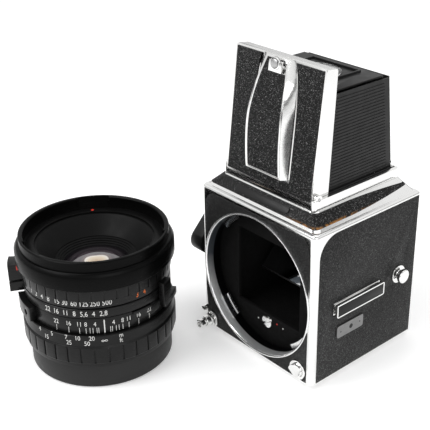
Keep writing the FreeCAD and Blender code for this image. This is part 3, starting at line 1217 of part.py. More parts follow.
def rear_panel():
    """Plain rear panel that leans forward with the side panels' rear edges."""
    lean_run = (PANEL_REAR_BOTTOM - PANEL_REAR_TOP) * (PANEL_TOP - REAR_HINGE_Z) / (PANEL_TOP - RIGHT_HINGE_Z)
    height = PANEL_TOP - REAR_HINGE_Z
    slant = math.degrees(math.atan2(lean_run, height))
    length = math.hypot(lean_run, height)
    half = REAR_PANEL_HALF_WIDTH
    plate = block(-half, half, REAR_HINGE_Y - PANEL_SHEET / 2, REAR_HINGE_Y + PANEL_SHEET / 2, REAR_HINGE_Z,
                  REAR_HINGE_Z + length)
    margin = REAR_FIELD_MARGIN
    face = REAR_HINGE_Y + PANEL_SHEET / 2
    field = block(-half + margin, half - margin, face - RIB_SINK, face + RIB_HEIGHT, REAR_HINGE_Z + margin,
                  REAR_HINGE_Z + length - margin)
    barrel = rod(PANEL_BARREL, 2 * half, -half, REAR_HINGE_Y, REAR_HINGE_Z, RIGHT)
    panel = fused(plate, [field, barrel])
    bore = rod(PANEL_PIN + RUNNING_GAP, 4 * half, -2 * half, REAR_HINGE_Y, REAR_HINGE_Z, RIGHT)
    notches = []
    lug = half - REAR_LUG_INSET
    reach = REAR_NOTCH
    for side in (-1, 1):
        x0, x1 = sorted((side * (lug + RING_CLEARANCE), side * (lug - HINGE_LUG - RING_CLEARANCE)))
        notches.append(block(x0, x1, REAR_HINGE_Y - reach, REAR_HINGE_Y + reach, REAR_HINGE_Z - reach,
                             REAR_HINGE_Z + reach))
    panel = panel.cut([bore] + notches)
    panel.rotate(Vector(0, REAR_HINGE_Y, REAR_HINGE_Z), RIGHT, slant)
    return panel


# Finder lid, drawn upright in its own plane and then leaned back

def leaned(shape):
    """From the lid's own frame (x across, y out of its face to the rear, z along it) to the camera's."""
    shape.translate(Vector(0, LID_BOTTOM_Y, LID_BOTTOM_Z))
    shape.rotate(Vector(0, LID_BOTTOM_Y, LID_BOTTOM_Z), RIGHT, -LID_LEAN)
    return shape


def lid_shell():
    """Front sheet of the lid with its two tapered side flanges."""
    radii = (LID_CORNER_RADIUS, LID_CORNER_RADIUS, LID_TOP_CORNER_RADIUS, LID_TOP_CORNER_RADIUS)
    wire = rounded_rectangle(-LID_HALF_WIDTH, LID_HALF_WIDTH, 0, LID_LENGTH, radii,
                             lambda u, v: Vector(u, 0, v))
    face = Part.Face(wire).extrude(Vector(0, LID_SHEET, 0))
    flanges = []
    for side in (-1, 1):
        start = side * LID_HALF_WIDTH
        head = LID_LENGTH - LID_FLANGE_HEAD
        points = [Vector(start, LID_FLANGE_START, LID_FLANGE_FOOT),
                  Vector(start, LID_FLANGE_BOTTOM, LID_FLANGE_FOOT), Vector(start, LID_FLANGE_TOP, head),
                  Vector(start, LID_FLANGE_START, head)]
        flanges.append(extruded(points, Vector(-side * LID_FLANGE_SHEET, 0, 0)))
    ceiling = LID_LENGTH - LID_TOP_DROP
    top = block(-LID_HALF_WIDTH, LID_HALF_WIDTH, LID_FLANGE_START, LID_TOP_WALL, ceiling - LID_SHEET, ceiling)
    return fused(face, flanges + [top])


def bulge_half(z):
    """Half width of the raised middle panel's top at a height along the lid."""
    share = max(0.0, (z - BULGE_WAIST) / (LID_LENGTH - BULGE_WAIST))
    return BULGE_HALF + (BULGE_TOP_HALF - BULGE_HALF) * share ** 2


def bulge_foot(z):
    """Half width of the raised middle panel where its walls meet the lid."""
    share = max(0.0, (z - BULGE_CREST) / (LID_LENGTH - BULGE_CREST))
    return BULGE_FOOT_HALF + (BULGE_FOOT_TOP_HALF - BULGE_FOOT_HALF) * share ** 2


def bulge_rise(z):
    """How far the raised middle panel stands out of the lid."""
    if z < BULGE_CREST:
        share = (BULGE_CREST - z) / (BULGE_CREST - BULGE_BOTTOM)
        return BULGE_CREST_RISE + (BULGE_BOTTOM_RISE - BULGE_CREST_RISE) * share ** 2
    share = (z - BULGE_CREST) / (LID_LENGTH - BULGE_CREST)
    return BULGE_CREST_RISE + (BULGE_TOP_RISE - BULGE_CREST_RISE) * share ** 1.5


def bulge(inset, sink, rise):
    """Raised middle panel, lofted through level sections that narrow and flatten to the top."""
    sections = []
    for i in range(BULGE_STATIONS):
        span = LID_LENGTH - LID_TOP_DROP - BULGE_BOTTOM - 2 * inset
        z = BULGE_BOTTOM + inset + span * i / (BULGE_STATIONS - 1)
        half = bulge_half(z) - inset
        foot = bulge_foot(z) - inset
        out = bulge_rise(z) + rise
        points = [Vector(-foot, sink, z), Vector(foot, sink, z), Vector(half, -out, z),
                  Vector(-half, -out, z)]
        sections.append(Part.makePolygon(points + [points[0]]))
    return Part.makeLoft(sections, True, False)


def bulge_pocket():
    """Room for the leather that is let into the bulge's face, inside its bright rim."""
    front = -2 * BULGE_CREST_RISE
    low = BULGE_BOTTOM + LID_PANEL_RIM
    high = LID_LENGTH - LID_TOP_DROP - LID_PANEL_RIM

    def flank(side):
        points = []
        for i in range(BULGE_STATIONS):
            z = low + (high - low) * i / (BULGE_STATIONS - 1)
            points.append(Vector(side * (bulge_half(z) - LID_PANEL_RIM), front, z))
        curve = Part.BSplineCurve()
        curve.interpolate(points)
        return curve.toShape()

    def level(z):
        half = bulge_half(z) - LID_PANEL_RIM
        return Part.makeLine(Vector(-half, front, z), Vector(half, front, z))

    outline = Part.Face(Part.Wire([level(low), flank(1), level(high), flank(-1)]))
    return outline.extrude(Vector(0, -front, 0)).cut(bulge(0, LID_SHEET, -SKIN))


def upright_lid():
    """The lid with its bulge, pivot bosses and magnifier brackets, in its own frame."""
    lid = fused(lid_shell(), [bulge(0, BULGE_SINK, 0)])
    half = KNOB_NECK_RADIUS + RING_CLEARANCE
    slot = block(KNOB_X - half, KNOB_X + half + KNOB_TRAVEL, -BULGE_CREST_RISE, LID_SHEET + 1,
                 KNOB_ALONG - half, KNOB_ALONG + half)
    lid = lid.cut([slot, bulge_pocket()])
    bosses = []
    for side in (-1, 1):
        x = side * (LID_HALF_WIDTH - LID_FLANGE_SHEET)
        bosses.append(rod(LID_EAR_RADIUS, LID_BOSS, x, LID_PIVOT_BACK, LID_PIVOT_UP, Vector(-side, 0, 0)))
    back = LID_SHEET + MAGNIFIER_HINGE_INSET
    for x in MAGNIFIER_BRACKETS:
        bosses.append(block(x, x + MAGNIFIER_BRACKET, LID_SHEET - LUG_SINK, back + MAGNIFIER_BARREL,
                            MAGNIFIER_HEIGHT - 2 * MAGNIFIER_BARREL, MAGNIFIER_HEIGHT + 2 * MAGNIFIER_BARREL))
    lid = fused(lid, bosses)
    reach = 2 * LID_HALF_WIDTH
    pivot_holes = rod(LID_PIVOT_PIN + RUNNING_GAP, 2 * reach, -reach, LID_PIVOT_BACK, LID_PIVOT_UP, RIGHT)
    reach = MAGNIFIER_HALF_WIDTH
    pin_holes = rod(MAGNIFIER_PIN, 2 * reach, -reach, back, MAGNIFIER_HEIGHT, RIGHT)
    return lid.cut([pivot_holes, pin_holes])


def hood_lid():
    return leaned(upright_lid())


def lid_skin():
    """Leather on the lid's face at both sides of the bulge, and on top of the bulge."""
    half = LID_HALF_WIDTH - LID_EDGE
    plate = block(-half, half, -SKIN, 0, LID_EDGE, LID_LENGTH - LID_EDGE)
    around = plate.cut(bulge(-LID_PANEL_RIM, BULGE_SINK, BULGE_SINK))
    half = KNOB_TAB_WIDTH / 2 + RING_CLEARANCE
    tab = block(KNOB_X - half, KNOB_X + half + KNOB_TRAVEL, -2 * BULGE_CREST_RISE, LID_SHEET + 1,
                KNOB_ALONG - KNOB_TAB_HEIGHT - RING_CLEARANCE, LID_LENGTH + 1)
    panel = bulge(0, BULGE_SINK, 0).common(bulge_pocket()).cut(tab)
    return leaned(Part.makeCompound(around.Solids + panel.Solids))


def latch_knob():
    """Round knob on a square tab that slides sideways to free the magnifier."""
    rise = bulge_rise(KNOB_ALONG - KNOB_TAB_HEIGHT) + RING_CLEARANCE
    head = rod(KNOB_RADIUS, KNOB_HEAD, KNOB_X, -rise - KNOB_RISE, KNOB_ALONG, BACK)
    neck = rod(KNOB_NECK_RADIUS, KNOB_RISE + rise + LUG_SINK, KNOB_X, -rise - KNOB_RISE, KNOB_ALONG, BACK)
    half = KNOB_TAB_WIDTH / 2
    tab = block(KNOB_X - half, KNOB_X + half, -rise - KNOB_TAB, -rise, KNOB_ALONG - KNOB_TAB_HEIGHT,
                KNOB_ALONG + KNOB_TAB_ABOVE)
    return leaned(fused(head, [neck, tab]))


# Magnifier, deployed level over the hood

def magnifier_hinge():
    lean = math.radians(LID_LEAN)
    back = LID_SHEET + MAGNIFIER_HINGE_INSET
    y = LID_BOTTOM_Y + back * math.cos(lean) + MAGNIFIER_HEIGHT * math.sin(lean)
    z = LID_BOTTOM_Z + MAGNIFIER_HEIGHT * math.cos(lean) - back * math.sin(lean)
    return y, z


def magnifier_plate():
    """Plate with a raised square frame round the lens, on a hinge inside the lid."""
    y, z = magnifier_hinge()
    plate = block(-MAGNIFIER_HALF_WIDTH, MAGNIFIER_HALF_WIDTH, y, y + MAGNIFIER_LENGTH,
                  z - MAGNIFIER_SHEET / 2, z + MAGNIFIER_SHEET / 2)
    middle = y + MAGNIFIER_LENGTH / 2 + MAGNIFIER_SET_BACK
    half = MAGNIFIER_GLASS_RADIUS + MAGNIFIER_FRAME_MARGIN
    top = z + MAGNIFIER_SHEET / 2
    frame = block(-half, half, middle - half, middle + half, z, top + MAGNIFIER_FRAME_RISE)
    half = half - MAGNIFIER_FRAME
    inner = block(-half, half, middle - half, middle + half, top, top + 2 * MAGNIFIER_FRAME_RISE)
    reach = MAGNIFIER_HALF_WIDTH - MAGNIFIER_PIN_INSET
    barrel = rod(MAGNIFIER_BARREL, 2 * reach, -reach, y, z, RIGHT)
    shape = fused(plate, [frame, barrel]).cut(inner)
    cuts = [rod(MAGNIFIER_GLASS_RADIUS - MAGNIFIER_GLASS_LEDGE, 4 * MAGNIFIER_SHEET, 0, middle,
                z - 2 * MAGNIFIER_SHEET, UP),
            rod(MAGNIFIER_PIN + RUNNING_GAP, 4 * reach, -2 * reach, y, z, RIGHT)]
    for x in MAGNIFIER_BRACKETS:
        reach = 3 * MAGNIFIER_BARREL
        cuts.append(block(x - RING_CLEARANCE, x + MAGNIFIER_BRACKET + RING_CLEARANCE, y - reach, y + reach,
                          z - reach, z + reach))
    return shape.cut(cuts)


def magnifier_glass():
    y, z = magnifier_hinge()
    middle = y + MAGNIFIER_LENGTH / 2 + MAGNIFIER_SET_BACK
    return lens_element(0, middle, z + MAGNIFIER_SHEET / 2, MAGNIFIER_GLASS_RADIUS, MAGNIFIER_GLASS_RISE,
                        MAGNIFIER_GLASS_EDGE, 0)


def magnifier_pin():
    y, z = magnifier_hinge()
    reach = MAGNIFIER_HALF_WIDTH - MAGNIFIER_PIN_INSET
    return rod(MAGNIFIER_PIN, 2 * reach, -reach, y, z, RIGHT)


def lens_element(x, y, z, radius, rise, edge, back_rise):
    """A round glass: a domed front, a straight edge, and a back that is flat or domed the other way."""

    def dome(height, direction):
        ball = (radius ** 2 + height ** 2) / (2 * height)
        slant = math.radians(math.degrees(math.asin(radius / ball)) / 2)
        drop = ball * (1 - math.cos(slant))
        return Vector(x + ball * math.sin(slant), y, direction * (height - drop))

    front = Part.Arc(Vector(x + radius, y, z + edge), dome(rise, 1) + Vector(0, 0, z + edge),
                     Vector(x, y, z + edge + rise)).toShape()
    side = Part.LineSegment(Vector(x + radius, y, z), Vector(x + radius, y, z + edge)).toShape()
    axis = Part.LineSegment(Vector(x, y, z + edge + rise), Vector(x, y, z - back_rise)).toShape()
    if back_rise > 0:
        back = Part.Arc(Vector(x, y, z - back_rise), dome(back_rise, -1) + Vector(0, 0, z),
                        Vector(x + radius, y, z)).toShape()
    else:
        back = Part.LineSegment(Vector(x, y, z), Vector(x + radius, y, z)).toShape()
    face = Part.Face(Part.Wire([back, side, front, axis]))
    return face.revolve(Vector(x, y, 0), UP, 360)


# Lens

def lens_ring(profile):
    return turned(profile, LENS_X, LENS_Y)


def lens_arc(inner, outer, z0, z1, swing, half):
    return arc_block(LENS_X, LENS_Y, inner, outer, z0, z1, INDEX_AZIMUTH + swing, half)


def grooves(radius, depth, width, z0, z1, count):
    """Upright grooves round a grip, spaced evenly from the index line."""
    cuts = []
    for i in range(count):
        cut = block(radius - depth, radius + 2, -width / 2, width / 2, z0, z1)
        cut.rotate(Vector(0, 0, 0), UP, INDEX_AZIMUTH + 360 * (i + 0.5) / count)
        cut.translate(Vector(LENS_X, LENS_Y, 0))
        cuts.append(cut)
    return cuts


def rear_cap():
    """Cup with bayonet tongues that the lens stands in."""
    inner = CAP_RADIUS - CAP_WALL
    foot = CAP_FOOT_RADIUS
    profile = [(0.0, CAP_FOOT_RISE), (foot, CAP_FOOT_RISE), (foot + CAP_FOOT_RISE, 0.0),
               (CAP_RADIUS - CAP_EDGE, 0.0), (CAP_RADIUS, CAP_EDGE), (CAP_RADIUS, CAP_HEIGHT),
               (inner, CAP_HEIGHT), (inner, CAP_FLOOR), (0.0, CAP_FLOOR)]
    tongues = []
    low = MOUNT_BOTTOM + MOUNT_LUG_THICKNESS + RING_CLEARANCE
    for i in range(CLAW_COUNT):
        tongues.append(lens_arc(MOUNT_RADIUS + RING_CLEARANCE, inner + 0.2, low, low + MOUNT_LUG_THICKNESS,
                                360 * i / CLAW_COUNT, CLAW_ANGLE / 2))
    return fused(lens_ring(profile), tongues)


def bayonet_mount():
    """Chrome rear tube of the lens with the lugs that go behind the body's claws."""
    tube = lens_ring([(MOUNT_BORE, MOUNT_BOTTOM), (MOUNT_RADIUS, MOUNT_BOTTOM), (MOUNT_RADIUS, FOCUS_BOTTOM),
                      (MOUNT_BORE, FOCUS_BOTTOM)])
    lugs = []
    for i in range(CLAW_COUNT):
        lugs.append(lens_arc(MOUNT_RADIUS - 1, LUG_RADIUS, MOUNT_BOTTOM, MOUNT_BOTTOM + MOUNT_LUG_THICKNESS,
                             360 * i / CLAW_COUNT, CLAW_ANGLE / 2))
    return fused(tube, lugs)


def lens_barrel():
    """Fixed body of the lens, with the depth scale band and the sleeve that the rings turn on."""
    inner = FOCUS_SCALE_RADIUS - FOCUS_WALL
    band = FOCUS_TOP + RING_GAP
    barrel = lens_ring([(MOUNT_BORE, FOCUS_BOTTOM), (inner, FOCUS_BOTTOM), (inner, band),
                        (INDEX_RADIUS, band), (INDEX_RADIUS, INDEX_TOP), (SLEEVE_RADIUS, INDEX_TOP),
                        (SLEEVE_RADIUS, RIM_BOTTOM), (CONE_WELL_RADIUS, RIM_BOTTOM),
                        (CONE_WELL_RADIUS, CONE_BOTTOM), (MOUNT_BORE, CONE_BOTTOM)])
    pointer = lens_arc(INDEX_RADIUS - 1, APERTURE_RADIUS + POINTER_PROUD, INDEX_TOP - POINTER_DROP, INDEX_TOP,
                       POINTER_SWING, POINTER_HALF_ANGLE)
    return fused(barrel, [pointer])


def focus_ring():
    inner = FOCUS_SCALE_RADIUS - FOCUS_WALL + RING_CLEARANCE
    bottom = FOCUS_BOTTOM + RING_CLEARANCE
    radius = FOCUS_SCALE_RADIUS
    rise = FOCUS_RADIUS - FOCUS_SCALE_RADIUS
    ring = lens_ring([(inner, bottom), (radius, bottom), (radius, FOCUS_GRIP_BOTTOM - rise),
                      (FOCUS_RADIUS, FOCUS_GRIP_BOTTOM), (FOCUS_RADIUS, FOCUS_GRIP_TOP),
                      (radius, FOCUS_GRIP_TOP + rise), (radius, FOCUS_TOP - RING_EDGE),
                      (radius - RING_EDGE, FOCUS_TOP), (inner, FOCUS_TOP)])
    return ring.cut(grooves(FOCUS_RADIUS, FOCUS_GROOVE_DEPTH, FOCUS_GROOVE_WIDTH, FOCUS_GRIP_BOTTOM,
                            FOCUS_GRIP_TOP, FOCUS_GRIPS))


def aperture_ring():
    inner = SLEEVE_RADIUS + RING_CLEARANCE
    outer = APERTURE_RADIUS - RING_EDGE
    ring = lens_ring([(inner, APERTURE_BOTTOM), (outer, APERTURE_BOTTOM),
                      (APERTURE_RADIUS, APERTURE_BOTTOM + RING_EDGE),
                      (APERTURE_RADIUS, APERTURE_TOP - RING_EDGE), (outer, APERTURE_TOP),
                      (inner, APERTURE_TOP)])
    tab = lens_arc(APERTURE_RADIUS - 1, TAB_RADIUS, APERTURE_BOTTOM, APERTURE_TOP, TAB_SWING, TAB_HALF_ANGLE)
    return fused(ring, [tab])


def shutter_ring():
    inner = SLEEVE_RADIUS + RING_CLEARANCE
    bottom = APERTURE_TOP + RING_GAP
    top = RIM_BOTTOM - RING_GAP
    rise = SHUTTER_RADIUS - APERTURE_RADIUS
    ring = lens_ring([(inner, bottom), (APERTURE_RADIUS - RING_EDGE, bottom),
                      (APERTURE_RADIUS, bottom + RING_EDGE), (APERTURE_RADIUS, SHUTTER_GRIP_BOTTOM - rise),
                      (SHUTTER_RADIUS, SHUTTER_GRIP_BOTTOM), (SHUTTER_RADIUS, top), (inner, top)])
    ring = ring.cut(grooves(SHUTTER_RADIUS, SHUTTER_GROOVE_DEPTH, SHUTTER_GROOVE_WIDTH, SHUTTER_GRIP_BOTTOM,
                            SHUTTER_GRIP_TOP, SHUTTER_GRIPS))
    tab = lens_arc(APERTURE_RADIUS - 1, TAB_RADIUS, bottom + TAB_INSET, top - TAB_INSET, TAB_SWING,
                   TAB_HALF_ANGLE)
    return fused(ring, [tab])


def front_rim():
    """Wide front ring of the lens with the bayonet lip for filters and hoods."""
    foot = SLEEVE_RADIUS - RIM_FOOT
    seat = NAME_RING_HEIGHT - NAME_RING
    ring = lens_ring([(foot, RIM_BOTTOM), (RIM_RADIUS - RING_EDGE, RIM_BOTTOM),
                      (RIM_RADIUS, RIM_BOTTOM + RING_EDGE),
                      (RIM_RADIUS, RIM_STEP - 3 * RIM_ROUND), (RIM_RADIUS - RIM_ROUND, RIM_STEP - RIM_ROUND),
                      (RIM_RADIUS - 2 * RIM_ROUND, RIM_STEP), (RIM_FRONT_RADIUS, RIM_STEP),
                      (RIM_FRONT_RADIUS, RIM_TOP - RING_EDGE), (RIM_FRONT_RADIUS - RING_EDGE, RIM_TOP),
                      (RIM_BORE + RING_EDGE, RIM_TOP), (RIM_BORE, RIM_TOP - RING_EDGE),
                      (RIM_BORE, NAME_RING_HEIGHT), (NAME_SEAT_RADIUS, NAME_RING_HEIGHT),
                      (NAME_SEAT_RADIUS, seat), (foot, seat)])
    notches = []
    for i in range(FILTER_NOTCHES):
        notches.append(lens_arc(RIM_BORE - 1, RIM_BORE + FILTER_NOTCH_DEPTH, RIM_TOP - FILTER_NOTCH_HEIGHT,
                                RIM_TOP + 1, FILTER_NOTCH_START + 360 * i / FILTER_NOTCHES,
                                FILTER_NOTCH_ANGLE / 2))
    return ring.cut(notches)


def name_ring():
    """Flat black ring round the front cone; its face is bare."""
    low = NAME_RING_HEIGHT - NAME_RING
    outer = NAME_SEAT_RADIUS - RUNNING_GAP
    return lens_ring([(NAME_RING_INNER, low), (outer, low), (outer, NAME_RING_HEIGHT),
                      (NAME_RING_INNER, NAME_RING_HEIGHT)])


def front_cone():
    """Black funnel from the name ring down to the front glass, stepped near the glass."""
    top = NAME_RING_HEIGHT - NAME_RING
    slope = (NAME_RING_INNER - CONE_BOTTOM_RADIUS) / (top - CONE_BOTTOM)
    profile = [(NAME_RING_INNER, top), (NAME_RING_INNER - CONE_SHEET, top)]
    for i in range(CONE_STEPS):
        z = CONE_BOTTOM + CONE_STEP_ZONE * (CONE_STEPS - i) / CONE_STEPS
        r = CONE_BOTTOM_RADIUS - CONE_SHEET + slope * (z - CONE_BOTTOM)
        profile.append((r, z))
        profile.append((r, z - CONE_STEP_ZONE / CONE_STEPS / 2))
    profile.append((CONE_BOTTOM_RADIUS - CONE_SHEET, CONE_BOTTOM))
    profile.append((CONE_BOTTOM_RADIUS, CONE_BOTTOM))
    return lens_ring(profile)


def front_glass():
    return lens_element(LENS_X, LENS_Y, FRONT_GLASS_HEIGHT, GLASS_RADIUS, GLASS_RISE, GLASS_EDGE, 0)


def rear_glass():
    return lens_element(LENS_X, LENS_Y, REAR_GLASS_HEIGHT, REAR_GLASS_RADIUS, REAR_GLASS_RISE, GLASS_EDGE,
                        REAR_GLASS_RISE)


def glass_cells():
    """Inner tubes that hold the front and rear glass in the barrel."""
    low = FRONT_GLASS_HEIGHT - CELL_FLOOR
    front = lens_ring([(GLASS_RADIUS - CELL_LEDGE, low), (MOUNT_BORE, low), (MOUNT_BORE, CONE_BOTTOM),
                       (GLASS_RADIUS, CONE_BOTTOM), (GLASS_RADIUS, FRONT_GLASS_HEIGHT),
                       (GLASS_RADIUS - CELL_LEDGE, FRONT_GLASS_HEIGHT)])
    top = REAR_GLASS_HEIGHT + GLASS_EDGE + CELL_LEDGE
    rear = lens_ring([(REAR_GLASS_RADIUS, REAR_GLASS_HEIGHT), (MOUNT_BORE, REAR_GLASS_HEIGHT),
                      (MOUNT_BORE, top), (REAR_GLASS_RADIUS, top)])
    return Part.makeCompound([front, rear])


def iris():
    """Diaphragm plate in the middle of the barrel, standing wide open."""
    rim = MOUNT_BORE - IRIS_RIM
    top = IRIS_HEIGHT + IRIS_THICKNESS
    return lens_ring([(IRIS_OPENING, IRIS_HEIGHT), (MOUNT_BORE, IRIS_HEIGHT),
                      (MOUNT_BORE, IRIS_HEIGHT + IRIS_RIM), (rim, IRIS_HEIGHT + IRIS_RIM), (rim, top),
                      (IRIS_OPENING, top)])


def sync_socket():
    """Flash socket block on the depth scale band."""
    z0 = INDEX_TOP - SOCKET_HEIGHT
    outer = lens_arc(INDEX_RADIUS - 1, SOCKET_RADIUS, z0, INDEX_TOP, SOCKET_SWING, SOCKET_HALF_ANGLE)
    angle = math.radians(INDEX_AZIMUTH + SOCKET_SWING + SOCKET_HOLE_SWING)
    axis = Vector(math.cos(angle), math.sin(angle), 0)
    start = Vector(LENS_X, LENS_Y, z0 + SOCKET_HEIGHT / 2) + axis * (SOCKET_RADIUS - SOCKET_HOLE_DEPTH)
    hole = Part.makeCylinder(SOCKET_HOLE, SOCKET_HOLE_DEPTH + 1, start, axis)
    return outer.cut([hole, rod(INDEX_RADIUS, INDEX_TOP, LENS_X, LENS_Y, 1, UP)])


def preview_lever():
    """Lever that closes the iris for a look at the depth of field."""
    z0 = INDEX_TOP - LEVER_DROP
    half = LEVER_BAR_ANGLE / 2
    bar = lens_arc(INDEX_RADIUS + RING_CLEARANCE, LEVER_RADIUS, z0, INDEX_TOP, LEVER_SWING + half, half)
    knob = lens_arc(APERTURE_RADIUS + POINTER_PROUD + RING_CLEARANCE, LEVER_RADIUS, z0, z0 + LEVER_KNOB,
                    LEVER_SWING, LEVER_HALF_ANGLE)
    return fused(bar, [knob])


NODES = {
    "body_shell": body_shell, "front_skin": front_skin, "right_skin": right_skin, "left_skin": left_skin,
    "shoulder_skin": shoulder_skin, "name_plate": name_plate, "throat_ring": throat_ring,
    "bayonet_claws": bayonet_claws, "lens_flange": lens_flange, "light_box": light_box,
    "focusing_screen": focusing_screen, "screen_frame": screen_frame, "rear_plate": rear_plate,
    "magazine_hooks": magazine_hooks, "magazine_catches": magazine_catches, "base_foot": base_foot,
    "tripod_bush": tripod_bush, "accessory_rail": accessory_rail, "side_plate": side_plate,
    "strap_lugs": strap_lugs, "button_collars": button_collars,
    "crank_bearing": crank_bearing, "finder_base": finder_base, "finder_pins": finder_pins,
    "coupling_shaft": coupling_shaft, "mirror_holder": mirror_holder, "mirror_glass": mirror_glass,
    "upper_flap": upper_flap, "lower_flap": lower_flap, "film_gear": film_gear,
    "release_button": release_button, "release_latch": release_latch, "lens_catch": lens_catch,
    "crank_arm": crank_arm, "crank_handle": crank_handle, "wind_gear": wind_gear,
    "right_panel": right_panel, "left_panel": left_panel, "rear_panel": rear_panel,
    "hood_lid": hood_lid, "lid_skin": lid_skin, "latch_knob": latch_knob,
    "magnifier_plate": magnifier_plate, "magnifier_glass": magnifier_glass, "magnifier_pin": magnifier_pin,
    "rear_cap": rear_cap, "bayonet_mount": bayonet_mount, "lens_barrel": lens_barrel,
    "focus_ring": focus_ring, "aperture_ring": aperture_ring, "shutter_ring": shutter_ring,
    "front_rim": front_rim, "name_ring": name_ring, "front_cone": front_cone, "front_glass": front_glass,
    "rear_glass": rear_glass, "glass_cells": glass_cells, "iris": iris, "sync_socket": sync_socket,
    "preview_lever": preview_lever,
}

os.makedirs("parts", exist_ok=True)
for node, make in NODES.items():
    shape = make()
    print(node, len(shape.Solids), shape.isValid(), round(shape.Volume, 1))
    shape.exportStep("parts/" + node + ".step")
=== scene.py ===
"""Looks of the medium format film camera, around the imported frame.

Lengths are millimetres in the named values and metres in Blender. X runs to the viewer's right seen from
the front, the front faces -Y and Z is up. The lens stands beside the body on its rear cap.
"""

import bpy
import bmesh
import math
from mathutils import Matrix, Vector


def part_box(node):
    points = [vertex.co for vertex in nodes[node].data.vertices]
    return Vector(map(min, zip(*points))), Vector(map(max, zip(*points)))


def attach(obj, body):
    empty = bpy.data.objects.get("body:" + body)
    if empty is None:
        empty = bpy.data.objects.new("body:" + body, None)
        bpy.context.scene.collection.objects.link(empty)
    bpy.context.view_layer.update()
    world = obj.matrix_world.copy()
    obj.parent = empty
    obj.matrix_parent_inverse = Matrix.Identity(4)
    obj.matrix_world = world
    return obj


MM = 0.001

# Camera fitted to the photograph: lens and place in mm, angles in degrees, clipping in metres
LENS_MM = 76.2
SENSOR_MM = 36.0
CLIP = (0.01, 20)
SHIFT_X = -0.0700
SHIFT_Y = -0.0674
CAMERA_PLACE = (327.7, -343.4, 317.1)
CAMERA_AZIMUTH = 48.17
CAMERA_PITCH = 24.92
CAMERA_ROLL = -0.20

# Light: floor and sky, and lamps as (name, place, target, side, power) in metres and watts
FLOOR_SIZE = 6.0
FLOOR_COLOR = 0.93
FLOOR_GLOW = 0.25
SKY_STRENGTH = 0.62
LAMPS = (("key", (-0.25, -0.75, 0.95), (-0.02, -0.04, 0.06), 0.7, 7.5),
         ("fill", (0.95, -0.35, 0.55), (0, -0.04, 0.08), 0.6, 2.2),
         ("top", (0.05, 0.25, 1.1), (0, -0.04, 0.06), 0.9, 3.0))

# What shiny metal mirrors: (height from straight down at 0 to straight up at 1, tone)
SKY_BAND = ((0.0, 0.9), (0.49, 0.85), (0.505, 0.06), (0.535, 0.08), (0.56, 0.85), (0.70, 1.0), (0.84, 0.95),
            (0.87, 0.25), (1.0, 0.4))

# Dressing of the meshes: weld in mm, and the angles in degrees up to which faces are one flat, from which an
# edge is bevelled and up to which it is shaded smooth
WELD = 0.002
FLAT_ANGLE = 0.6
SHARP_ANGLE = 35
SMOOTH_ANGLE = 32
BEVEL_STEPS = 2

# Worn lower edge of the shoulder's leather: its height, where it starts and is full from left to right, where
# it starts and stops fading from front to back, how much is left there, and the bare hide's colour
WEAR_HEIGHT = 1.0
WEAR_ACROSS = (20.0, 36.0)
WEAR_ALONG = (-20.0, 14.0)
WEAR_AT_REAR = 0.15
BARE_HIDE = (0.34, 0.15, 0.035)

# Lens throat: depths of its bright lip and of its wall with painted light, and over what depth the wall turns
# black
LIP_DEPTH = 2.0
WALL_BRIGHT = 5.4
WALL_END = 0.5

# Lens glass: painted reflections of its inner elements and a painted highlight in the middle, as zones from
# the middle outwards as (place, colour), which way the deep ones lie, and how far
GLASS_PAINTED_ZONES = ((0.0, (0.50, 0.38, 0.27)), (0.22, (0.60, 0.50, 0.38)), (0.33, (0.66, 0.62, 0.57)),
               (0.36, (0.10, 0.070, 0.060)), (0.42, (0.085, 0.062, 0.070)), (0.47, (0.035, 0.026, 0.032)),
               (0.56, (0.055, 0.043, 0.050)), (0.62, (0.020, 0.015, 0.019)), (0.72, (0.030, 0.025, 0.029)),
               (0.80, (0.008, 0.006, 0.008)), (1.0, (0.003, 0.003, 0.004)))
GLASS_DEEP_SIDE = -31.0
GLASS_DEEP_SHIFT = 10.0

# Lens scales: swings in degrees from the index line, to the viewer's right, and heights from the floor. The
# index line's own azimuth is counted from +X.
INDEX_AZIMUTH = -29.3
FIGURE_LIFT = 0.04
FIGURE_HEIGHT = 3.1
SMALL_HEIGHT = 2.8
FIGURE_WIDTH_SHARE = 0.82
FONT_PER_HEIGHT = 1.42
SHUTTER_RADIUS = 42.0
SHUTTER_ROW_Z = 53.9
SHUTTER_FIGURES = (("1", -62.0), ("2", -55.5), ("4", -49.0), ("8", -42.5), ("15", -35.0), ("30", -28.5),
                   ("60", -21.4), ("125", -14.0), ("250", -5.8), ("500", 3.1))
LONG_FIGURES = (("3", 27.0), ("4", 33.5))
APERTURE_RADIUS = 42.0
APERTURE_ROW_Z = 47.5
APERTURE_FIGURES = (("22", -44.0), ("16", -36.4), ("11", -28.5), ("8", -21.6), ("5,6", -14.4), ("4", -7.3),
                    ("2,8", 0.0))
DEPTH_RADIUS = 41.2
DEPTH_ROW_Z = 40.6
DEPTH_ANGLES = (("4", 7.0), ("8", 14.0), ("11", 19.0), ("16", 27.5), ("22", 38.0))
DEPTH_TICK_ANGLES = (4.4, 5.8, 8.8, 11.0, 14.0, 19.0, 27.5, 38.0)
TICK_BOTTOM = 36.2
TICK_TOP = 39.6
TICK_WIDTH = 0.28
INDEX_BOTTOM = 36.1
INDEX_TOP = 44.3
INDEX_WIDTH = 0.62
FOCUS_RADIUS = 43.3
METRE_ROW_Z = 32.9
METRE_FIGURES = (("4", -53.0), ("5", -41.0), ("7", -29.0), ("10", -20.3), ("20", -9.8), ("m", 11.4))
FOOT_ROW_Z = 29.6
FOOT_FIGURES = (("15", -46.5), ("25", -27.0), ("50", -13.5), ("ft", 11.2))
INFINITY_Z = 32.3
INFINITY_SWING = -0.8
INFINITY_ACROSS = 1.55
INFINITY_UP = 1.3
INFINITY_HALF_STROKE = 0.17
INFINITY_STEPS = 48

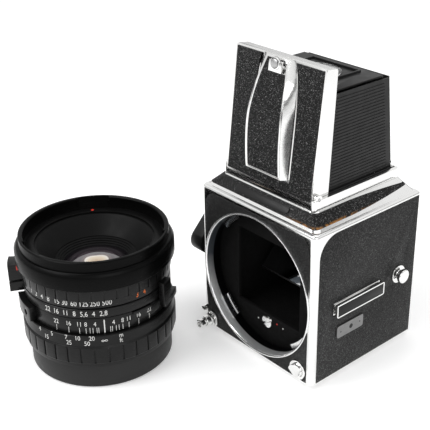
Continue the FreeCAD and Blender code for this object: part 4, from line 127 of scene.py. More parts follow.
# Bare inlay of the accessory rail: distance from the rail's edges, depths of its back and its face, and its
# corners and edges
INLAY_RIM = 0.85
INLAY_BACK = 0.5
INLAY_FACE = 0.15
INLAY_CORNER = 0.5
INLAY_EDGE = 0.08
CORNER_STEPS = 4

# Turned fittings have two ends, which are heights over the face that they stand on

# Side plate: its bore, filled by a black disc as painted shade, and marks as (name, place from the plate's
# front, height from its foot)
PLATE_BORE_RADIUS = 1.4
PLATE_BORE_PLACE = 11.4
PLATE_BORE_ENDS = (-0.3, 0.02)
PLATE_MARK_RADIUS = 0.45
PLATE_MARK_ENDS = (-0.05, 0.03)
PLATE_MARKS = (("plate_mark_front", 3.0, 3.6), ("plate_mark_rear", 18.6, 3.9))

# Painted shade: black sleeves on the necks of the strap studs, where the gap between collar and head lies in
# shade, with ends counted from a point inwards of the stud's face
SLEEVE_RADIUS = 3.0
SLEEVE_IN = 3.0
SLEEVE_ENDS = (-0.6, 0.9)

# Red dot on the name ring and red bar at the shutter ring's tab
RED_DOT_RADIUS = 0.9
RED_DOT_OUT = 36.2
RED_DOT_ENDS = (-0.02, 0.06)
RED_DOT_SWING = 178.0
RED_BAR_SWING = -86.0
RED_BAR_SIZE = (3.0, 2.2, 5.4)
RED_BAR_OUT = 43.4
RED_BAR_HEIGHT = 62.4
RED_BAR_EDGE = 0.4

# The open lid: its foot and lean, its curved panel with half widths and heights, and the bead round it
LID_FOOT = (-34.0, 108.0)
LID_LEAN = 6.7
LID_LENGTH = 72.4
PANEL_LOW = 8.0
PANEL_HIGH = 72.0
PANEL_WAIST = 30.0
PANEL_HALF = (13.4, 8.1)
PANEL_CREST = 38.0
PANEL_RISE = (4.3, 7.2, 1.2)
BEAD_RADIUS = 0.62
BEAD_INSET = 0.7
BEAD_SINKS = (56.0, 62.0)
BEAD_STEPS = 28

# Latch knob: its turned parts as (name, profile of (radius, height), dark or steel), where the dark ones are
# painted shade in its groove and round its edge, and how far below its highest point the knob's face reaches
KNOB_PARTS = (("knob_groove_shade", ((2.75, -0.05), (2.75, 0.03)), "dark"),
              ("knob_middle", ((2.45, 0.0), (2.45, 0.16), (1.96, 0.42), (1.1025, 0.58)), "steel"),
              ("knob_edge_shade", ((3.53, -1.25), (3.53, -0.95)), "dark"))
KNOB_FACE_DEPTH = 0.02

# Dots on the flange beside the coupling: (name, place across, height, radius, red or white)
FLANGE_DOT_ENDS = (-0.05, 0.08)
FLANGE_DOTS = (("flange_dot_left", -8.2, 18.2, 0.45, "white"),
               ("flange_dot_right", 12.6, 20.5, 0.45, "white"),
               ("flange_dot_red", 7.6, 21.2, 0.5, "red"))

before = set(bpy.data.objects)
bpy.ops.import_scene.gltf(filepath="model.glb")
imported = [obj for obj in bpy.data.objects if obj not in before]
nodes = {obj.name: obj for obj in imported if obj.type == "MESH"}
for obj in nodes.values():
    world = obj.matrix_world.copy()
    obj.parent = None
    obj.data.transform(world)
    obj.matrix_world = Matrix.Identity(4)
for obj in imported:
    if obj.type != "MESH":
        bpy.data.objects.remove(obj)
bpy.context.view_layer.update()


def centre_of(node):
    low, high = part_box(node)
    return (low + high) / 2


LENS_AXIS = centre_of("front_rim")
LENS_AXIS.z = 0


def half_width(node):
    low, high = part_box(node)
    return (high.x - low.x) / 2


# Materials. Tones run from 0 to 1, and haze is how much rougher the dull patches are.

class Nodes:
    """Short ways to add nodes to a node tree."""

    def __init__(self, tree):
        self.tree = tree

    def link(self, source, target):
        self.tree.links.new(source, target)

    def node(self, kind, **settings):
        made = self.tree.nodes.new(kind)
        for key, value in settings.items():
            if key in made.inputs:
                made.inputs[key].default_value = value
            else:
                setattr(made, key, value)
        return made

    def ramp(self, value, *stops):
        """A colour ramp with its stops, each a place and a colour."""
        made = self.node("ShaderNodeValToRGB")
        elements = made.color_ramp.elements
        while len(elements) < len(stops):
            elements.new(0.5)
        for element, (at, color) in zip(elements, stops):
            element.position = at
            element.color = (*color, 1)
        self.link(value, made.inputs["Fac"])
        return made.outputs["Color"]

    def range(self, value, low, high, start=0.0, end=1.0):
        """Takes the values from start to end to those from low to high."""
        made = self.node("ShaderNodeMapRange")
        self.link(value, made.inputs["Value"])
        for key, number in (("From Min", start), ("From Max", end), ("To Min", low), ("To Max", high)):
            made.inputs[key].default_value = number
        return made.outputs["Result"]

    def math(self, operation, first, second):
        made = self.node("ShaderNodeMath", operation=operation)
        for socket, value in zip(made.inputs, (first, second)):
            if isinstance(value, (int, float)):
                socket.default_value = value
            else:
                self.link(value, socket)
        return made.outputs["Value"]

    def mix(self, share, first, second):
        made = self.node("ShaderNodeMix", data_type="RGBA")
        self.link(share, made.inputs["Factor"])
        for socket, value in ((made.inputs["A"], first), (made.inputs["B"], second)):
            if isinstance(value, tuple):
                socket.default_value = (*value, 1)
            else:
                self.link(value, socket)
        return made.outputs["Result"]


class Shader(Nodes):
    """A new material with its principled shader.

    Scales of noise and cells are per metre, and depths of bumps are in metres.
    """

    def __init__(self, name):
        self.material = bpy.data.materials.new(name)
        self.material.use_nodes = True
        super().__init__(self.material.node_tree)
        self.surface = self.tree.nodes["Principled BSDF"]
        self.place = self.tree.nodes.new("ShaderNodeTexCoord").outputs["Object"]

    def set(self, **values):
        for key, value in values.items():
            self.surface.inputs[key.replace("_", " ")].default_value = value

    def color(self, value):
        if isinstance(value, tuple):
            self.set(Base_Color=(*value, 1))
        else:
            self.link(value, self.surface.inputs["Base Color"])

    def roughness(self, value):
        self.link(value, self.surface.inputs["Roughness"])

    def axis(self, name):
        made = self.node("ShaderNodeSeparateXYZ")
        self.link(self.place, made.inputs["Vector"])
        return made.outputs[name]

    def stretched(self, stretch):
        if stretch is None:
            return self.place
        made = self.node("ShaderNodeMapping")
        made.inputs["Scale"].default_value = stretch
        self.link(self.place, made.inputs["Vector"])
        return made.outputs["Vector"]

    def noise(self, scale, detail=3.0, rough=0.55, stretch=None):
        made = self.node("ShaderNodeTexNoise", Scale=scale, Detail=detail, Roughness=rough)
        self.link(self.stretched(stretch), made.inputs["Vector"])
        return made.outputs["Fac"]

    def cells(self, scale, smooth=0.0):
        made = self.node("ShaderNodeTexVoronoi", Scale=scale)
        if smooth > 0:
            made.feature = "SMOOTH_F1"
            made.inputs["Smoothness"].default_value = smooth
        self.link(self.place, made.inputs["Vector"])
        return made.outputs["Distance"]

    def clouded(self, scale, tone, low, high, detail=4):
        """Gives the surface a tone that drifts between two shares of itself."""
        cloud = self.noise(scale, detail)
        self.color(self.ramp(cloud, (0.3, (tone * low,) * 3), (0.7, (tone * high,) * 3)))

    def bump(self, height, depth, strength=1.0, under=None):
        made = self.node("ShaderNodeBump", Strength=strength, Distance=depth)
        self.link(height, made.inputs["Height"])
        if under is not None:
            self.link(under, made.inputs["Normal"])
        self.link(made.outputs["Normal"], self.surface.inputs["Normal"])
        return made.outputs["Normal"]


def bright_chrome(name, tone, rough, haze):
    """Plated metal: faint clouding, hairline scratches and handling marks."""
    s = Shader(name)
    s.set(Metallic=1.0)
    cloud = s.noise(60, 4)
    s.color(s.ramp(cloud, (0.3, (tone * 0.93, tone * 0.93, tone * 0.92)), (0.75, (tone, tone, tone * 0.99))))
    hair = s.noise(900, 5, 0.7, stretch=(1.0, 0.06, 1.0))
    smears = s.math("MULTIPLY", s.noise(25, 3), s.noise(420, 3))
    s.roughness(s.range(smears, rough, rough + haze, 0.1, 0.45))
    s.bump(hair, 0.000006, 0.6)
    return s.material


def leather(name, grain_size, tips, base, painted_glint, worn=False):
    """Black pebbled covering with darker random spots, and grain tips painted bright: painted highlights of
    the light they catch.

    grain_size is in mm, tips says how many more tips get a painted highlight, base is the tone of the hide,
    and the tone after base is that of the painted highlights on the tips.
    """
    s = Shader(name)
    s.set(Specular_IOR_Level=0.22)
    pebble = s.cells(1000 / grain_size, 0.35)
    fine = s.cells(2200 / grain_size)
    uneven = s.noise(1000 / grain_size, 3, 0.7)
    height = s.math("ADD", s.math("MULTIPLY", pebble, 0.7), s.math("MULTIPLY", uneven, 0.5))
    # Painted highlights: where this noise is highest the colour rises to the tips' bright tone, light caught
    # by the grain painted into the colour
    painted_glint_noise = s.noise(1900 / grain_size, 3, 0.65)
    tone = s.ramp(painted_glint_noise, (0.34, (base * 0.25,) * 3), (0.50, (base,) * 3), (0.60 - tips, (base * 2.5,) * 3),
                  (0.74 - tips, (painted_glint, painted_glint, painted_glint)))
    patch = s.range(s.noise(30, 3), 0.7, 1.0, 0.35, 0.6)
    shaded = s.node("ShaderNodeMix", data_type="RGBA", blend_type="MULTIPLY")
    shaded.inputs["Factor"].default_value = 1.0
    s.link(tone, shaded.inputs["A"])
    s.link(patch, shaded.inputs["B"])
    tone = shaded.outputs["Result"]
    if worn:
        tone = s.mix(worn_edge(s), tone, BARE_HIDE)
    s.color(tone)
    s.roughness(s.range(height, 0.30, 0.62, 0.25, 0.7))
    first = s.bump(height, 0.00010 * grain_size, 0.8)
    s.bump(fine, 0.00003, 0.4, first)
    return s.material


def worn_edge(s):
    """Share of bare brown hide along the lower edge of the shoulder's leather, most near the front corner."""
    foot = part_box("shoulder_skin")[0].z
    edge = s.range(s.axis("Z"), 1.0, 0.0, foot, foot + WEAR_HEIGHT * MM)
    near = s.math("MULTIPLY", s.range(s.axis("X"), 0.0, 1.0, *(place * MM for place in WEAR_ACROSS)),
                  s.range(s.axis("Y"), 1.0, WEAR_AT_REAR, *(place * MM for place in WEAR_ALONG)))
    patchy = s.range(s.noise(420, 3), 0.0, 1.0, 0.40, 0.55)
    return s.math("MULTIPLY", s.math("MULTIPLY", edge, near), patchy)


def black_metal(name, tone, rough, haze, sheen):
    """Black enamel or anodised metal with dust-fine texture and a little handling shine."""
    s = Shader(name)
    s.set(Specular_IOR_Level=sheen)
    s.clouded(35, tone, 0.85, 1.2)
    s.roughness(s.range(s.noise(180, 4), rough, rough + haze, 0.3, 0.7))
    s.bump(s.noise(2600, 2), 0.000012, 0.5)
    return s.material


def ring_metal(name, tone, sheen):
    """Black anodised aluminium, turned: fine rings round the lens's axis."""
    s = Shader(name)
    s.set(Specular_IOR_Level=sheen)
    s.clouded(40, tone, 0.85, 1.2)
    lines = s.noise(300, 3, 0.6, stretch=(0.02, 0.02, 14.0))
    s.roughness(s.range(lines, 0.24, 0.38, 0.3, 0.7))
    s.bump(lines, 0.000008, 0.5)
    return s.material


def dull_black(name, tone):
    """Flocked or matt inside of the light path."""
    s = Shader(name)
    s.set(Specular_IOR_Level=0.12)
    s.clouded(300, tone, 0.7, 1.3, 3)
    s.roughness(s.range(s.noise(700, 2), 0.75, 0.95))
    s.bump(s.noise(1800, 2), 0.00003, 0.5)
    return s.material


def moulded_plastic(name, tone):
    """Satin moulding with the fine texture of a spark-eroded tool."""
    s = Shader(name)
    s.set(Specular_IOR_Level=0.30)
    s.clouded(30, tone, 0.93, 1.07, 3)
    s.roughness(s.range(s.noise(900, 3), 0.40, 0.52, 0.3, 0.7))
    s.bump(s.noise(3200, 2), 0.00001, 0.6)
    return s.material


def satin_steel(name, tone, rough):
    """Brushed or fine-ground metal."""
    s = Shader(name)
    s.set(Metallic=1.0)
    s.clouded(120, tone, 0.85, 1.1)
    s.roughness(s.range(s.noise(700, 3, 0.6, stretch=(1, 1, 8)), rough, rough + 0.16, 0.3, 0.7))
    s.bump(s.noise(1500, 3), 0.000006, 0.5)
    return s.material


def throat_metal(name):
    """Satin wall of the lens throat, turned, with painted light and shade: brightest low down where light
    falls on it and dark higher up, and black behind its step.
    """
    s = Shader(name)
    s.set(Metallic=0.82)
    low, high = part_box("throat_ring")
    depth = s.range(s.axis("Y"), 0.0, 1.0, low.y, low.y + LIP_DEPTH * MM)
    # Painted light and shade: the wall's colour is lighter towards its foot and darker towards its top, as
    # light falls into the throat, with some clouding
    around = s.range(s.axis("Z"), 1.0, 0.0, low.z, high.z)
    cloud_and_painted_light = s.math("ADD", s.math("MULTIPLY", s.noise(40, 3), 0.25), s.math("MULTIPLY", around, 0.75))
    wall = s.ramp(cloud_and_painted_light, (0.15, (0.08, 0.09, 0.10)), (0.50, (0.15, 0.17, 0.19)), (0.66, (0.97, 0.98, 0.98)),
                  (0.9, (0.75, 0.76, 0.77)))
    inner = s.range(s.axis("Y"), 0.0, 1.0, low.y + WALL_BRIGHT * MM, low.y + (WALL_BRIGHT + WALL_END) * MM)
    wall = s.mix(inner, wall, (0.006, 0.006, 0.007))
    s.color(s.mix(s.range(depth, 0.0, 1.0, 0.35, 0.45), (0.86, 0.86, 0.86), wall))
    s.roughness(s.range(depth, 0.12, 0.42, 0.35, 0.5))
    s.bump(s.noise(900, 3, 0.6, stretch=(1, 20, 1)), 0.000006, 0.4)
    return s.material


def brass_metal(name):
    """Turned brass, slightly tarnished."""
    s = Shader(name)
    s.set(Metallic=1.0)
    s.color(s.ramp(s.noise(90, 4), (0.3, (0.42, 0.30, 0.12)), (0.7, (0.60, 0.45, 0.20))))
    s.roughness(s.range(s.noise(500, 3), 0.25, 0.4))
    return s.material


def clear_glass(name, tint, rough):
    """Clear glass, or matt ground glass where rough is above zero."""
    s = Shader(name)
    s.set(Transmission_Weight=1.0, IOR=1.5)
    s.color(tint)
    s.roughness(s.range(s.noise(200, 3), rough, rough + 0.02))
    return s.material


def coated_glass(name):
    """Dark coated glass with painted reflections: purple-brown zones that move towards its low side, round a
    pale deep-lying painted highlight.
    """
    s = Shader(name)
    centre = centre_of("front_glass")
    across = s.math("SUBTRACT", s.axis("X"), centre.x)
    along = s.math("SUBTRACT", s.axis("Y"), centre.y)
    half = half_width("front_glass")
    edge = s.range(length_of(s, across, along), 1.0, 0.0, 0.0, half)
    turn = math.radians(GLASS_DEEP_SIDE)
    across = s.math("SUBTRACT", across, s.math("MULTIPLY", edge, GLASS_DEEP_SHIFT * MM * math.cos(turn)))
    along = s.math("SUBTRACT", along, s.math("MULTIPLY", edge, GLASS_DEEP_SHIFT * MM * math.sin(turn)))
    share = s.range(length_of(s, across, along), 0.0, 1.0, 0.0, half)
    # Painted reflections and highlight: the zones' colours stand in for inner elements and for a light
    # mirrored deep in the lens
    s.color(s.ramp(share, *GLASS_PAINTED_ZONES))
    s.set(Specular_IOR_Level=0.5, Coat_Weight=1.0, Coat_Roughness=0.01)
    s.roughness(s.range(s.noise(60, 2), 0.03, 0.08))
    return s.material


def length_of(s, across, along):
    """Distance from the middle, from its two parts."""
    squared = s.math("ADD", s.math("MULTIPLY", across, across), s.math("MULTIPLY", along, along))
    return s.math("SQRT", squared, 0.0)


def mirror_silver(name):
    """Silvered face of the swinging mirror."""
    s = Shader(name)
    s.set(Metallic=1.0)
    s.color(s.ramp(s.noise(30, 2), (0.3, (0.55, 0.56, 0.57)), (0.7, (0.60, 0.61, 0.62))))
    s.roughness(s.range(s.noise(90, 3), 0.02, 0.05))
    return s.material


def flat_paint(name, color):
    """Paint that fills an engraved figure or a small mark."""
    s = Shader(name)
    dark = tuple(c * 0.88 for c in color)
    s.color(s.ramp(s.noise(500, 2), (0.35, dark), (0.65, color)))
    s.roughness(s.range(s.noise(300, 2), 0.5, 0.6))
    return s.material


CHROME = bright_chrome("bright_chrome", tone=0.86, rough=0.10, haze=0.10)
SATIN_CHROME = bright_chrome("satin_chrome", tone=0.78, rough=0.20, haze=0.14)
LEATHER = leather("body_leather", grain_size=0.95, tips=0.02, base=0.012, painted_glint=0.20)
# Painted shade: the front's leather is the sides' leather with a finer grain, made darker and with fewer
# painted highlights for the shade on the front face
FRONT_LEATHER_SHADED = leather("front_leather_shaded", grain_size=0.8, tips=0.0, base=0.009, painted_glint=0.12)
GRAINED = leather("lid_leather", grain_size=1.0, tips=0.01, base=0.0015, painted_glint=0.55)
GRAINED_WORN = leather("strip_leather", grain_size=1.0, tips=0.01, base=0.0015, painted_glint=0.50, worn=True)
BLACK = black_metal("black_enamel", tone=0.006, rough=0.34, haze=0.12, sheen=0.25)
RIB_BLACK = black_metal("rib_black", tone=0.006, rough=0.38, haze=0.14, sheen=0.30)
LENS_BLACK = ring_metal("lens_black", tone=0.005, sheen=0.20)
LENS_RIM_BLACK = ring_metal("lens_rim_black", tone=0.0015, sheen=0.07)
CONE_BLACK = black_metal("cone_black", tone=0.003, rough=0.42, haze=0.12, sheen=0.10)
DULL = dull_black("dull_black", tone=0.004)
CAP = moulded_plastic("cap_plastic", tone=0.011)
STEEL = satin_steel("satin_steel", tone=0.50, rough=0.30)
GREY_PLATE = satin_steel("grey_plate", tone=0.22, rough=0.36)
CLAW_STEEL = satin_steel("claw_steel", tone=0.86, rough=0.16)
THROAT = throat_metal("throat_metal")
BRASS = brass_metal("turned_brass")
GROUND_GLASS = clear_glass("ground_glass", tint=(0.82, 0.86, 0.84), rough=0.5)
MAGNIFIER_GLASS = clear_glass("magnifier_glass", tint=(1, 1, 1), rough=0.0)
LENS_GLASS = coated_glass("coated_glass")
SILVER = mirror_silver("mirror_silver")
WHITE_PAINT = flat_paint("white_paint", (0.78, 0.78, 0.76))
ORANGE_PAINT = flat_paint("orange_paint", (0.80, 0.16, 0.02))
RED_PAINT = flat_paint("red_paint", (0.62, 0.03, 0.015))
# Black for the real rail inlay and plate marks, and for the dark parts that are painted shade in the plate's
# bore, on the strap studs' necks and on the latch knob
BLACK_INLAY_AND_SHADE = black_metal("black_inlay_and_shade", tone=0.004, rough=0.34, haze=0.10, sheen=0.25)


# CAD nodes: each gets its finish and, where a width in mm is given, a fine bevel on its sharp edges

def smooth_group():
    """Geometry nodes that shade smooth except over edges sharper than the limit."""
    group = bpy.data.node_groups.new("shade_by_angle", "GeometryNodeTree")
    group.interface.new_socket("Geometry", in_out="INPUT", socket_type="NodeSocketGeometry")
    group.interface.new_socket("Geometry", in_out="OUTPUT", socket_type="NodeSocketGeometry")
    start = group.nodes.new("NodeGroupInput")
    end = group.nodes.new("NodeGroupOutput")
    faces = group.nodes.new("GeometryNodeSetShadeSmooth")
    edges = group.nodes.new("GeometryNodeSetShadeSmooth")
    edges.domain = "EDGE"
    edges.inputs["Shade Smooth"].default_value = False
    angle = group.nodes.new("GeometryNodeInputMeshEdgeAngle")
    over = group.nodes.new("FunctionNodeCompare")
    over.operation = "GREATER_THAN"
    over.inputs["B"].default_value = math.radians(SMOOTH_ANGLE)
    links = group.links
    links.new(start.outputs[0], faces.inputs["Geometry"])
    links.new(faces.outputs["Geometry"], edges.inputs["Geometry"])
    links.new(angle.outputs["Unsigned Angle"], over.inputs["A"])
    links.new(over.outputs["Result"], edges.inputs["Selection"])
    links.new(edges.outputs["Geometry"], end.inputs[0])
    return group


SMOOTH = smooth_group()


def shade(piece):
    """Smooth shading, except over sharp edges."""
    piece.modifiers.new("shade", "NODES").node_group = SMOOTH


def soften(piece, width):
    """Fine bevel on the sharp edges."""
    edge = piece.modifiers.new("edges", "BEVEL")
    edge.limit_method = "ANGLE"
    edge.angle_limit = math.radians(SHARP_ANGLE)
    edge.width = width * MM
    edge.segments = BEVEL_STEPS
    return edge


def dress(node, material, bevel):
    """Gives a CAD node its finish, with softened edges where bevel is above zero."""
    piece = nodes[node]
    piece.data.materials.clear()
    piece.data.materials.append(material)
    if "custom_normal" in piece.data.attributes:
        piece.data.attributes.remove(piece.data.attributes["custom_normal"])
    weld = piece.modifiers.new("weld", "WELD")
    weld.merge_threshold = WELD * MM
    if bevel > 0:
        flat = piece.modifiers.new("flat_faces", "DECIMATE")
        flat.decimate_type = "DISSOLVE"
        flat.angle_limit = math.radians(FLAT_ANGLE)
        soften(piece, bevel).use_clamp_overlap = True
    shade(piece)


FINISHES = {
    "body_shell": (CHROME, 0.2), "front_skin": (FRONT_LEATHER_SHADED, 0.12), "right_skin": (LEATHER, 0.12),
    "left_skin": (LEATHER, 0.12), "shoulder_skin": (GRAINED_WORN, 0), "name_plate": (BLACK, 0.12),
    "throat_ring": (THROAT, 0.15), "bayonet_claws": (CLAW_STEEL, 0.15), "lens_flange": (DULL, 0.15),
    "light_box": (DULL, 0), "focusing_screen": (GROUND_GLASS, 0), "screen_frame": (BLACK, 0),
    "rear_plate": (BLACK, 0.15), "magazine_hooks": (STEEL, 0.2), "magazine_catches": (STEEL, 0.2),
    "base_foot": (SATIN_CHROME, 0.2), "tripod_bush": (BRASS, 0.1), "accessory_rail": (CHROME, 0.15),
    "side_plate": (GREY_PLATE, 0.15), "strap_lugs": (CHROME, 0.15), "button_collars": (CHROME, 0.2),
    "crank_bearing": (CHROME, 0.2), "finder_base": (CHROME, 0.12), "finder_pins": (STEEL, 0),
    "coupling_shaft": (CHROME, 0.12), "mirror_holder": (BLACK, 0.1), "mirror_glass": (SILVER, 0),
    "upper_flap": (DULL, 0), "lower_flap": (DULL, 0), "film_gear": (STEEL, 0.1),
    "release_button": (CHROME, 0.15), "release_latch": (CHROME, 0.15), "lens_catch": (CHROME, 0.2),
    "crank_arm": (BLACK, 0.4), "crank_handle": (BLACK, 0.2), "wind_gear": (BRASS, 0),
    "right_panel": (RIB_BLACK, 0), "left_panel": (RIB_BLACK, 0), "rear_panel": (RIB_BLACK, 0.1),
    "hood_lid": (CHROME, 0), "lid_skin": (GRAINED, 0), "latch_knob": (CHROME, 0.15),
    "magnifier_plate": (BLACK, 0.1), "magnifier_glass": (MAGNIFIER_GLASS, 0), "magnifier_pin": (STEEL, 0),
    "rear_cap": (CAP, 0.3), "bayonet_mount": (STEEL, 0.1), "lens_barrel": (LENS_BLACK, 0.1),
    "focus_ring": (LENS_BLACK, 0.15), "aperture_ring": (LENS_BLACK, 0.15), "shutter_ring": (LENS_BLACK, 0.12),
    "front_rim": (LENS_RIM_BLACK, 0.2), "name_ring": (CONE_BLACK, 0.05), "front_cone": (CONE_BLACK, 0),
    "front_glass": (LENS_GLASS, 0), "rear_glass": (LENS_GLASS, 0), "glass_cells": (CONE_BLACK, 0),
    "iris": (STEEL, 0), "sync_socket": (LENS_BLACK, 0.3), "preview_lever": (LENS_BLACK, 0.3),
}
for node_name, (finish, bevel_width) in FINISHES.items():
    dress(node_name, finish, bevel_width)


# Mesh helpers

def put(name, data):
    """A new object with this data, in the scene."""
    made = bpy.data.objects.new(name, data)
    bpy.context.scene.collection.objects.link(made)
    return made


def piece_from(name, mesh, body, material, bevel=0.0):
    """A piece of the model that rides on a body."""
    made = put(name, mesh)
    mesh.materials.append(material)
    if bevel > 0:
        soften(made, bevel)
    shade(made)
    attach(made, body)


def mesh_of(bm, name):
    """A mesh from the faces built up in bm, which is then freed."""
    mesh = bpy.data.meshes.new(name)
    bmesh.ops.recalc_face_normals(bm, faces=bm.faces)
    bm.to_mesh(mesh)
    bm.free()
    return mesh


def mesh_from_curve(curve):
    """The mesh of a curve or text, which is then removed."""
    holder = put("curve_holder", curve)
    mesh = bpy.data.meshes.new_from_object(holder)
    bpy.data.objects.remove(holder)
    bpy.data.curves.remove(curve)
    return mesh


def on_lens(radius, swing, height):
    """A point on the lens at a radius in mm, an angle from the index and a height in mm."""
    angle = math.radians(INDEX_AZIMUTH + swing)
    return Vector((LENS_AXIS.x + radius * MM * math.cos(angle), LENS_AXIS.y + radius * MM * math.sin(angle),
                   height * MM))


def figure_mesh(text, height):
    """Flat outline of some figures, centred on its width, standing on its baseline, in mm."""
    curve = bpy.data.curves.new("figure", "FONT")
    curve.body = text
    curve.size = height * FONT_PER_HEIGHT
    curve.align_x = "CENTER"
    curve.resolution_u = 3
    return mesh_from_curve(curve)


def figures_on_ring(name, body, material, rows):
    """Figures wrapped on the lens: rows of (text, swing, baseline height, radius, figure height)."""
    bm = bmesh.new()
    for text, swing, z, radius, height in rows:
        flat = figure_mesh(text, height)
        start = len(bm.verts)
        bm.from_mesh(flat)
        bm.verts.ensure_lookup_table()
        for v in bm.verts[start:]:
            turn = math.degrees(v.co.x * FIGURE_WIDTH_SHARE / radius)
            v.co = on_lens(radius + FIGURE_LIFT, swing + turn, z + v.co.y)
        bpy.data.meshes.remove(flat)
    piece_from(name, mesh_of(bm, name), body, material)


def lines_on_ring(name, body, material, lines):
    """Upright strokes on the lens: (swing, low, high, radius, width)."""
    bm = bmesh.new()
    for swing, low, high, radius, width in lines:
        half = math.degrees(width / 2 / radius)
        corners = ((swing - half, low), (swing + half, low), (swing + half, high), (swing - half, high))
        bm.faces.new([bm.verts.new(on_lens(radius + FIGURE_LIFT, *corner)) for corner in corners])
    piece_from(name, mesh_of(bm, name), body, material)


# Scales of the lens

def infinity_loops():
    """The lying eight, as a closed ribbon."""
    bm = bmesh.new()
    middle = []
    for i in range(INFINITY_STEPS):
        t = 2 * math.pi * i / INFINITY_STEPS
        grow = 1 / (1 + math.sin(t) ** 2)
        u = INFINITY_ACROSS * math.cos(t) * grow
        w = INFINITY_UP * math.sin(t) * math.cos(t) * grow
        middle.append((u, w))
    for (u0, w0), (u1, w1) in zip(middle, middle[1:] + middle[:1]):
        run = math.hypot(u1 - u0, w1 - w0)
        nu, nw = -(w1 - w0) / run * INFINITY_HALF_STROKE, (u1 - u0) / run * INFINITY_HALF_STROKE
        corners = []
        for u, w in ((u0 - nu, w0 - nw), (u1 - nu, w1 - nw), (u1 + nu, w1 + nw), (u0 + nu, w0 + nw)):
            swing = INFINITY_SWING + math.degrees(u / FOCUS_RADIUS)
            corners.append(on_lens(FOCUS_RADIUS + FIGURE_LIFT, swing, INFINITY_Z + w))
        bm.faces.new([bm.verts.new(c) for c in corners])
    piece_from("infinity_mark", mesh_of(bm, "infinity_mark"), "focus", WHITE_PAINT)


def scale_row(name, body, paint, figures, z, radius, height=FIGURE_HEIGHT):
    """One row of figures, each a text and its swing, at one height on the lens."""
    figures_on_ring(name, body, paint, [(text, swing, z, radius, height) for text, swing in figures])


def depth_scale():
    """Figures, ticks and index line of the depth scale, the same on both sides of the index."""
    figures = [(text, side * swing) for text, swing in DEPTH_ANGLES for side in (-1, 1)]
    ticks = [(side * swing, TICK_BOTTOM, TICK_TOP, DEPTH_RADIUS, TICK_WIDTH)
             for swing in DEPTH_TICK_ANGLES for side in (-1, 1)]
    index = (0, INDEX_BOTTOM, INDEX_TOP, DEPTH_RADIUS, INDEX_WIDTH)
    scale_row("depth_figures", "lens", WHITE_PAINT, figures, DEPTH_ROW_Z, DEPTH_RADIUS, SMALL_HEIGHT)
    lines_on_ring("depth_lines", "lens", WHITE_PAINT, ticks)
    lines_on_ring("index_line", "lens", WHITE_PAINT, [index])


scale_row("shutter_figures", "shutter", WHITE_PAINT, SHUTTER_FIGURES, SHUTTER_ROW_Z, SHUTTER_RADIUS)
scale_row("shutter_long_figures", "shutter", ORANGE_PAINT, LONG_FIGURES, SHUTTER_ROW_Z, SHUTTER_RADIUS)
scale_row("aperture_figures", "aperture", WHITE_PAINT, APERTURE_FIGURES, APERTURE_ROW_Z, APERTURE_RADIUS)
depth_scale()
scale_row("metre_figures", "focus", WHITE_PAINT, METRE_FIGURES, METRE_ROW_Z, FOCUS_RADIUS, SMALL_HEIGHT)
scale_row("foot_figures", "focus", WHITE_PAINT, FOOT_FIGURES, FOOT_ROW_Z, FOCUS_RADIUS, SMALL_HEIGHT)
infinity_loops()


# Small fittings that dress the body and the lens

def lathe(name, profile, centre, axis, body, material, steps=64):
    """Turns a profile of (radius, height) in mm round an axis through a centre given in metres."""
    bm = bmesh.new()
    turned = axis.to_track_quat("Z", "Y")
    rings = []
    for radius, height in profile:
        ring = []
        for i in range(steps):
            angle = 2 * math.pi * i / steps
            local = Vector((radius * math.cos(angle), radius * math.sin(angle), height)) * MM
            ring.append(bm.verts.new(centre + turned @ local))
        rings.append(ring)
    for low, high in zip(rings, rings[1:]):
        for i in range(steps):
            j = (i + 1) % steps
            bm.faces.new((low[i], low[j], high[j], high[i]))
    bm.faces.new(rings[0])
    bm.faces.new(rings[-1])
    piece_from(name, mesh_of(bm, name), body, material)


def drum(name, radius, ends, centre, axis, body, material, steps=64):
    """A round fitting of one radius between two heights along its axis."""
    lathe(name, [(radius, height) for height in ends], centre, axis, body, material, steps)


def rounded_slab(name, low, high, corner, body, material, bevel):
    """A slab across X with rounded corners seen along X; low and high are its corners in metres."""
    bm = bmesh.new()
    radius = corner * MM
    outline = []
    for y, z, start in ((high.y, high.z, 0), (low.y, high.z, 90), (low.y, low.z, 180), (high.y, low.z, 270)):
        middle_y = y - radius if y == high.y else y + radius
        middle_z = z - radius if z == high.z else z + radius
        for step in range(CORNER_STEPS + 1):
            angle = math.radians(start + 90 * step / CORNER_STEPS)
            outline.append((middle_y + radius * math.cos(angle), middle_z + radius * math.sin(angle)))
    base = [bm.verts.new((low.x, y, z)) for y, z in outline]
    face = [bm.verts.new((high.x, y, z)) for y, z in outline]
    bm.faces.new(base)
    bm.faces.new(face)
    for i in range(len(outline)):
        j = (i + 1) % len(outline)
        bm.faces.new((base[i], base[j], face[j], face[i]))
    piece_from(name, mesh_of(bm, name), body, material, bevel)


def rail_inset():
    """Bare black plate let into the accessory rail's frame."""
    low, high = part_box("accessory_rail")
    rim = INLAY_RIM * MM
    start = Vector((high.x - INLAY_BACK * MM, low.y + rim, low.z + rim))
    end = Vector((high.x - INLAY_FACE * MM, high.y - rim, high.z - rim))
    rounded_slab("rail_inset", start, end, INLAY_CORNER, "camera_body", BLACK_INLAY_AND_SHADE, INLAY_EDGE)


def lug_neck_shades():
    """Painted shade: a black sleeve on each strap stud's neck, in the gap between collar and head."""
    low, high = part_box("strap_lugs")
    for side, name in ((1, "lug_shade_right"), (-1, "lug_shade_left")):
        outer = high.x if side > 0 else low.x
        centre = Vector((outer - side * SLEEVE_IN * MM, (low.y + high.y) / 2, (low.z + high.z) / 2))
        drum(name, SLEEVE_RADIUS, SLEEVE_ENDS, centre, Vector((side, 0, 0)), "camera_body", BLACK_INLAY_AND_SHADE)


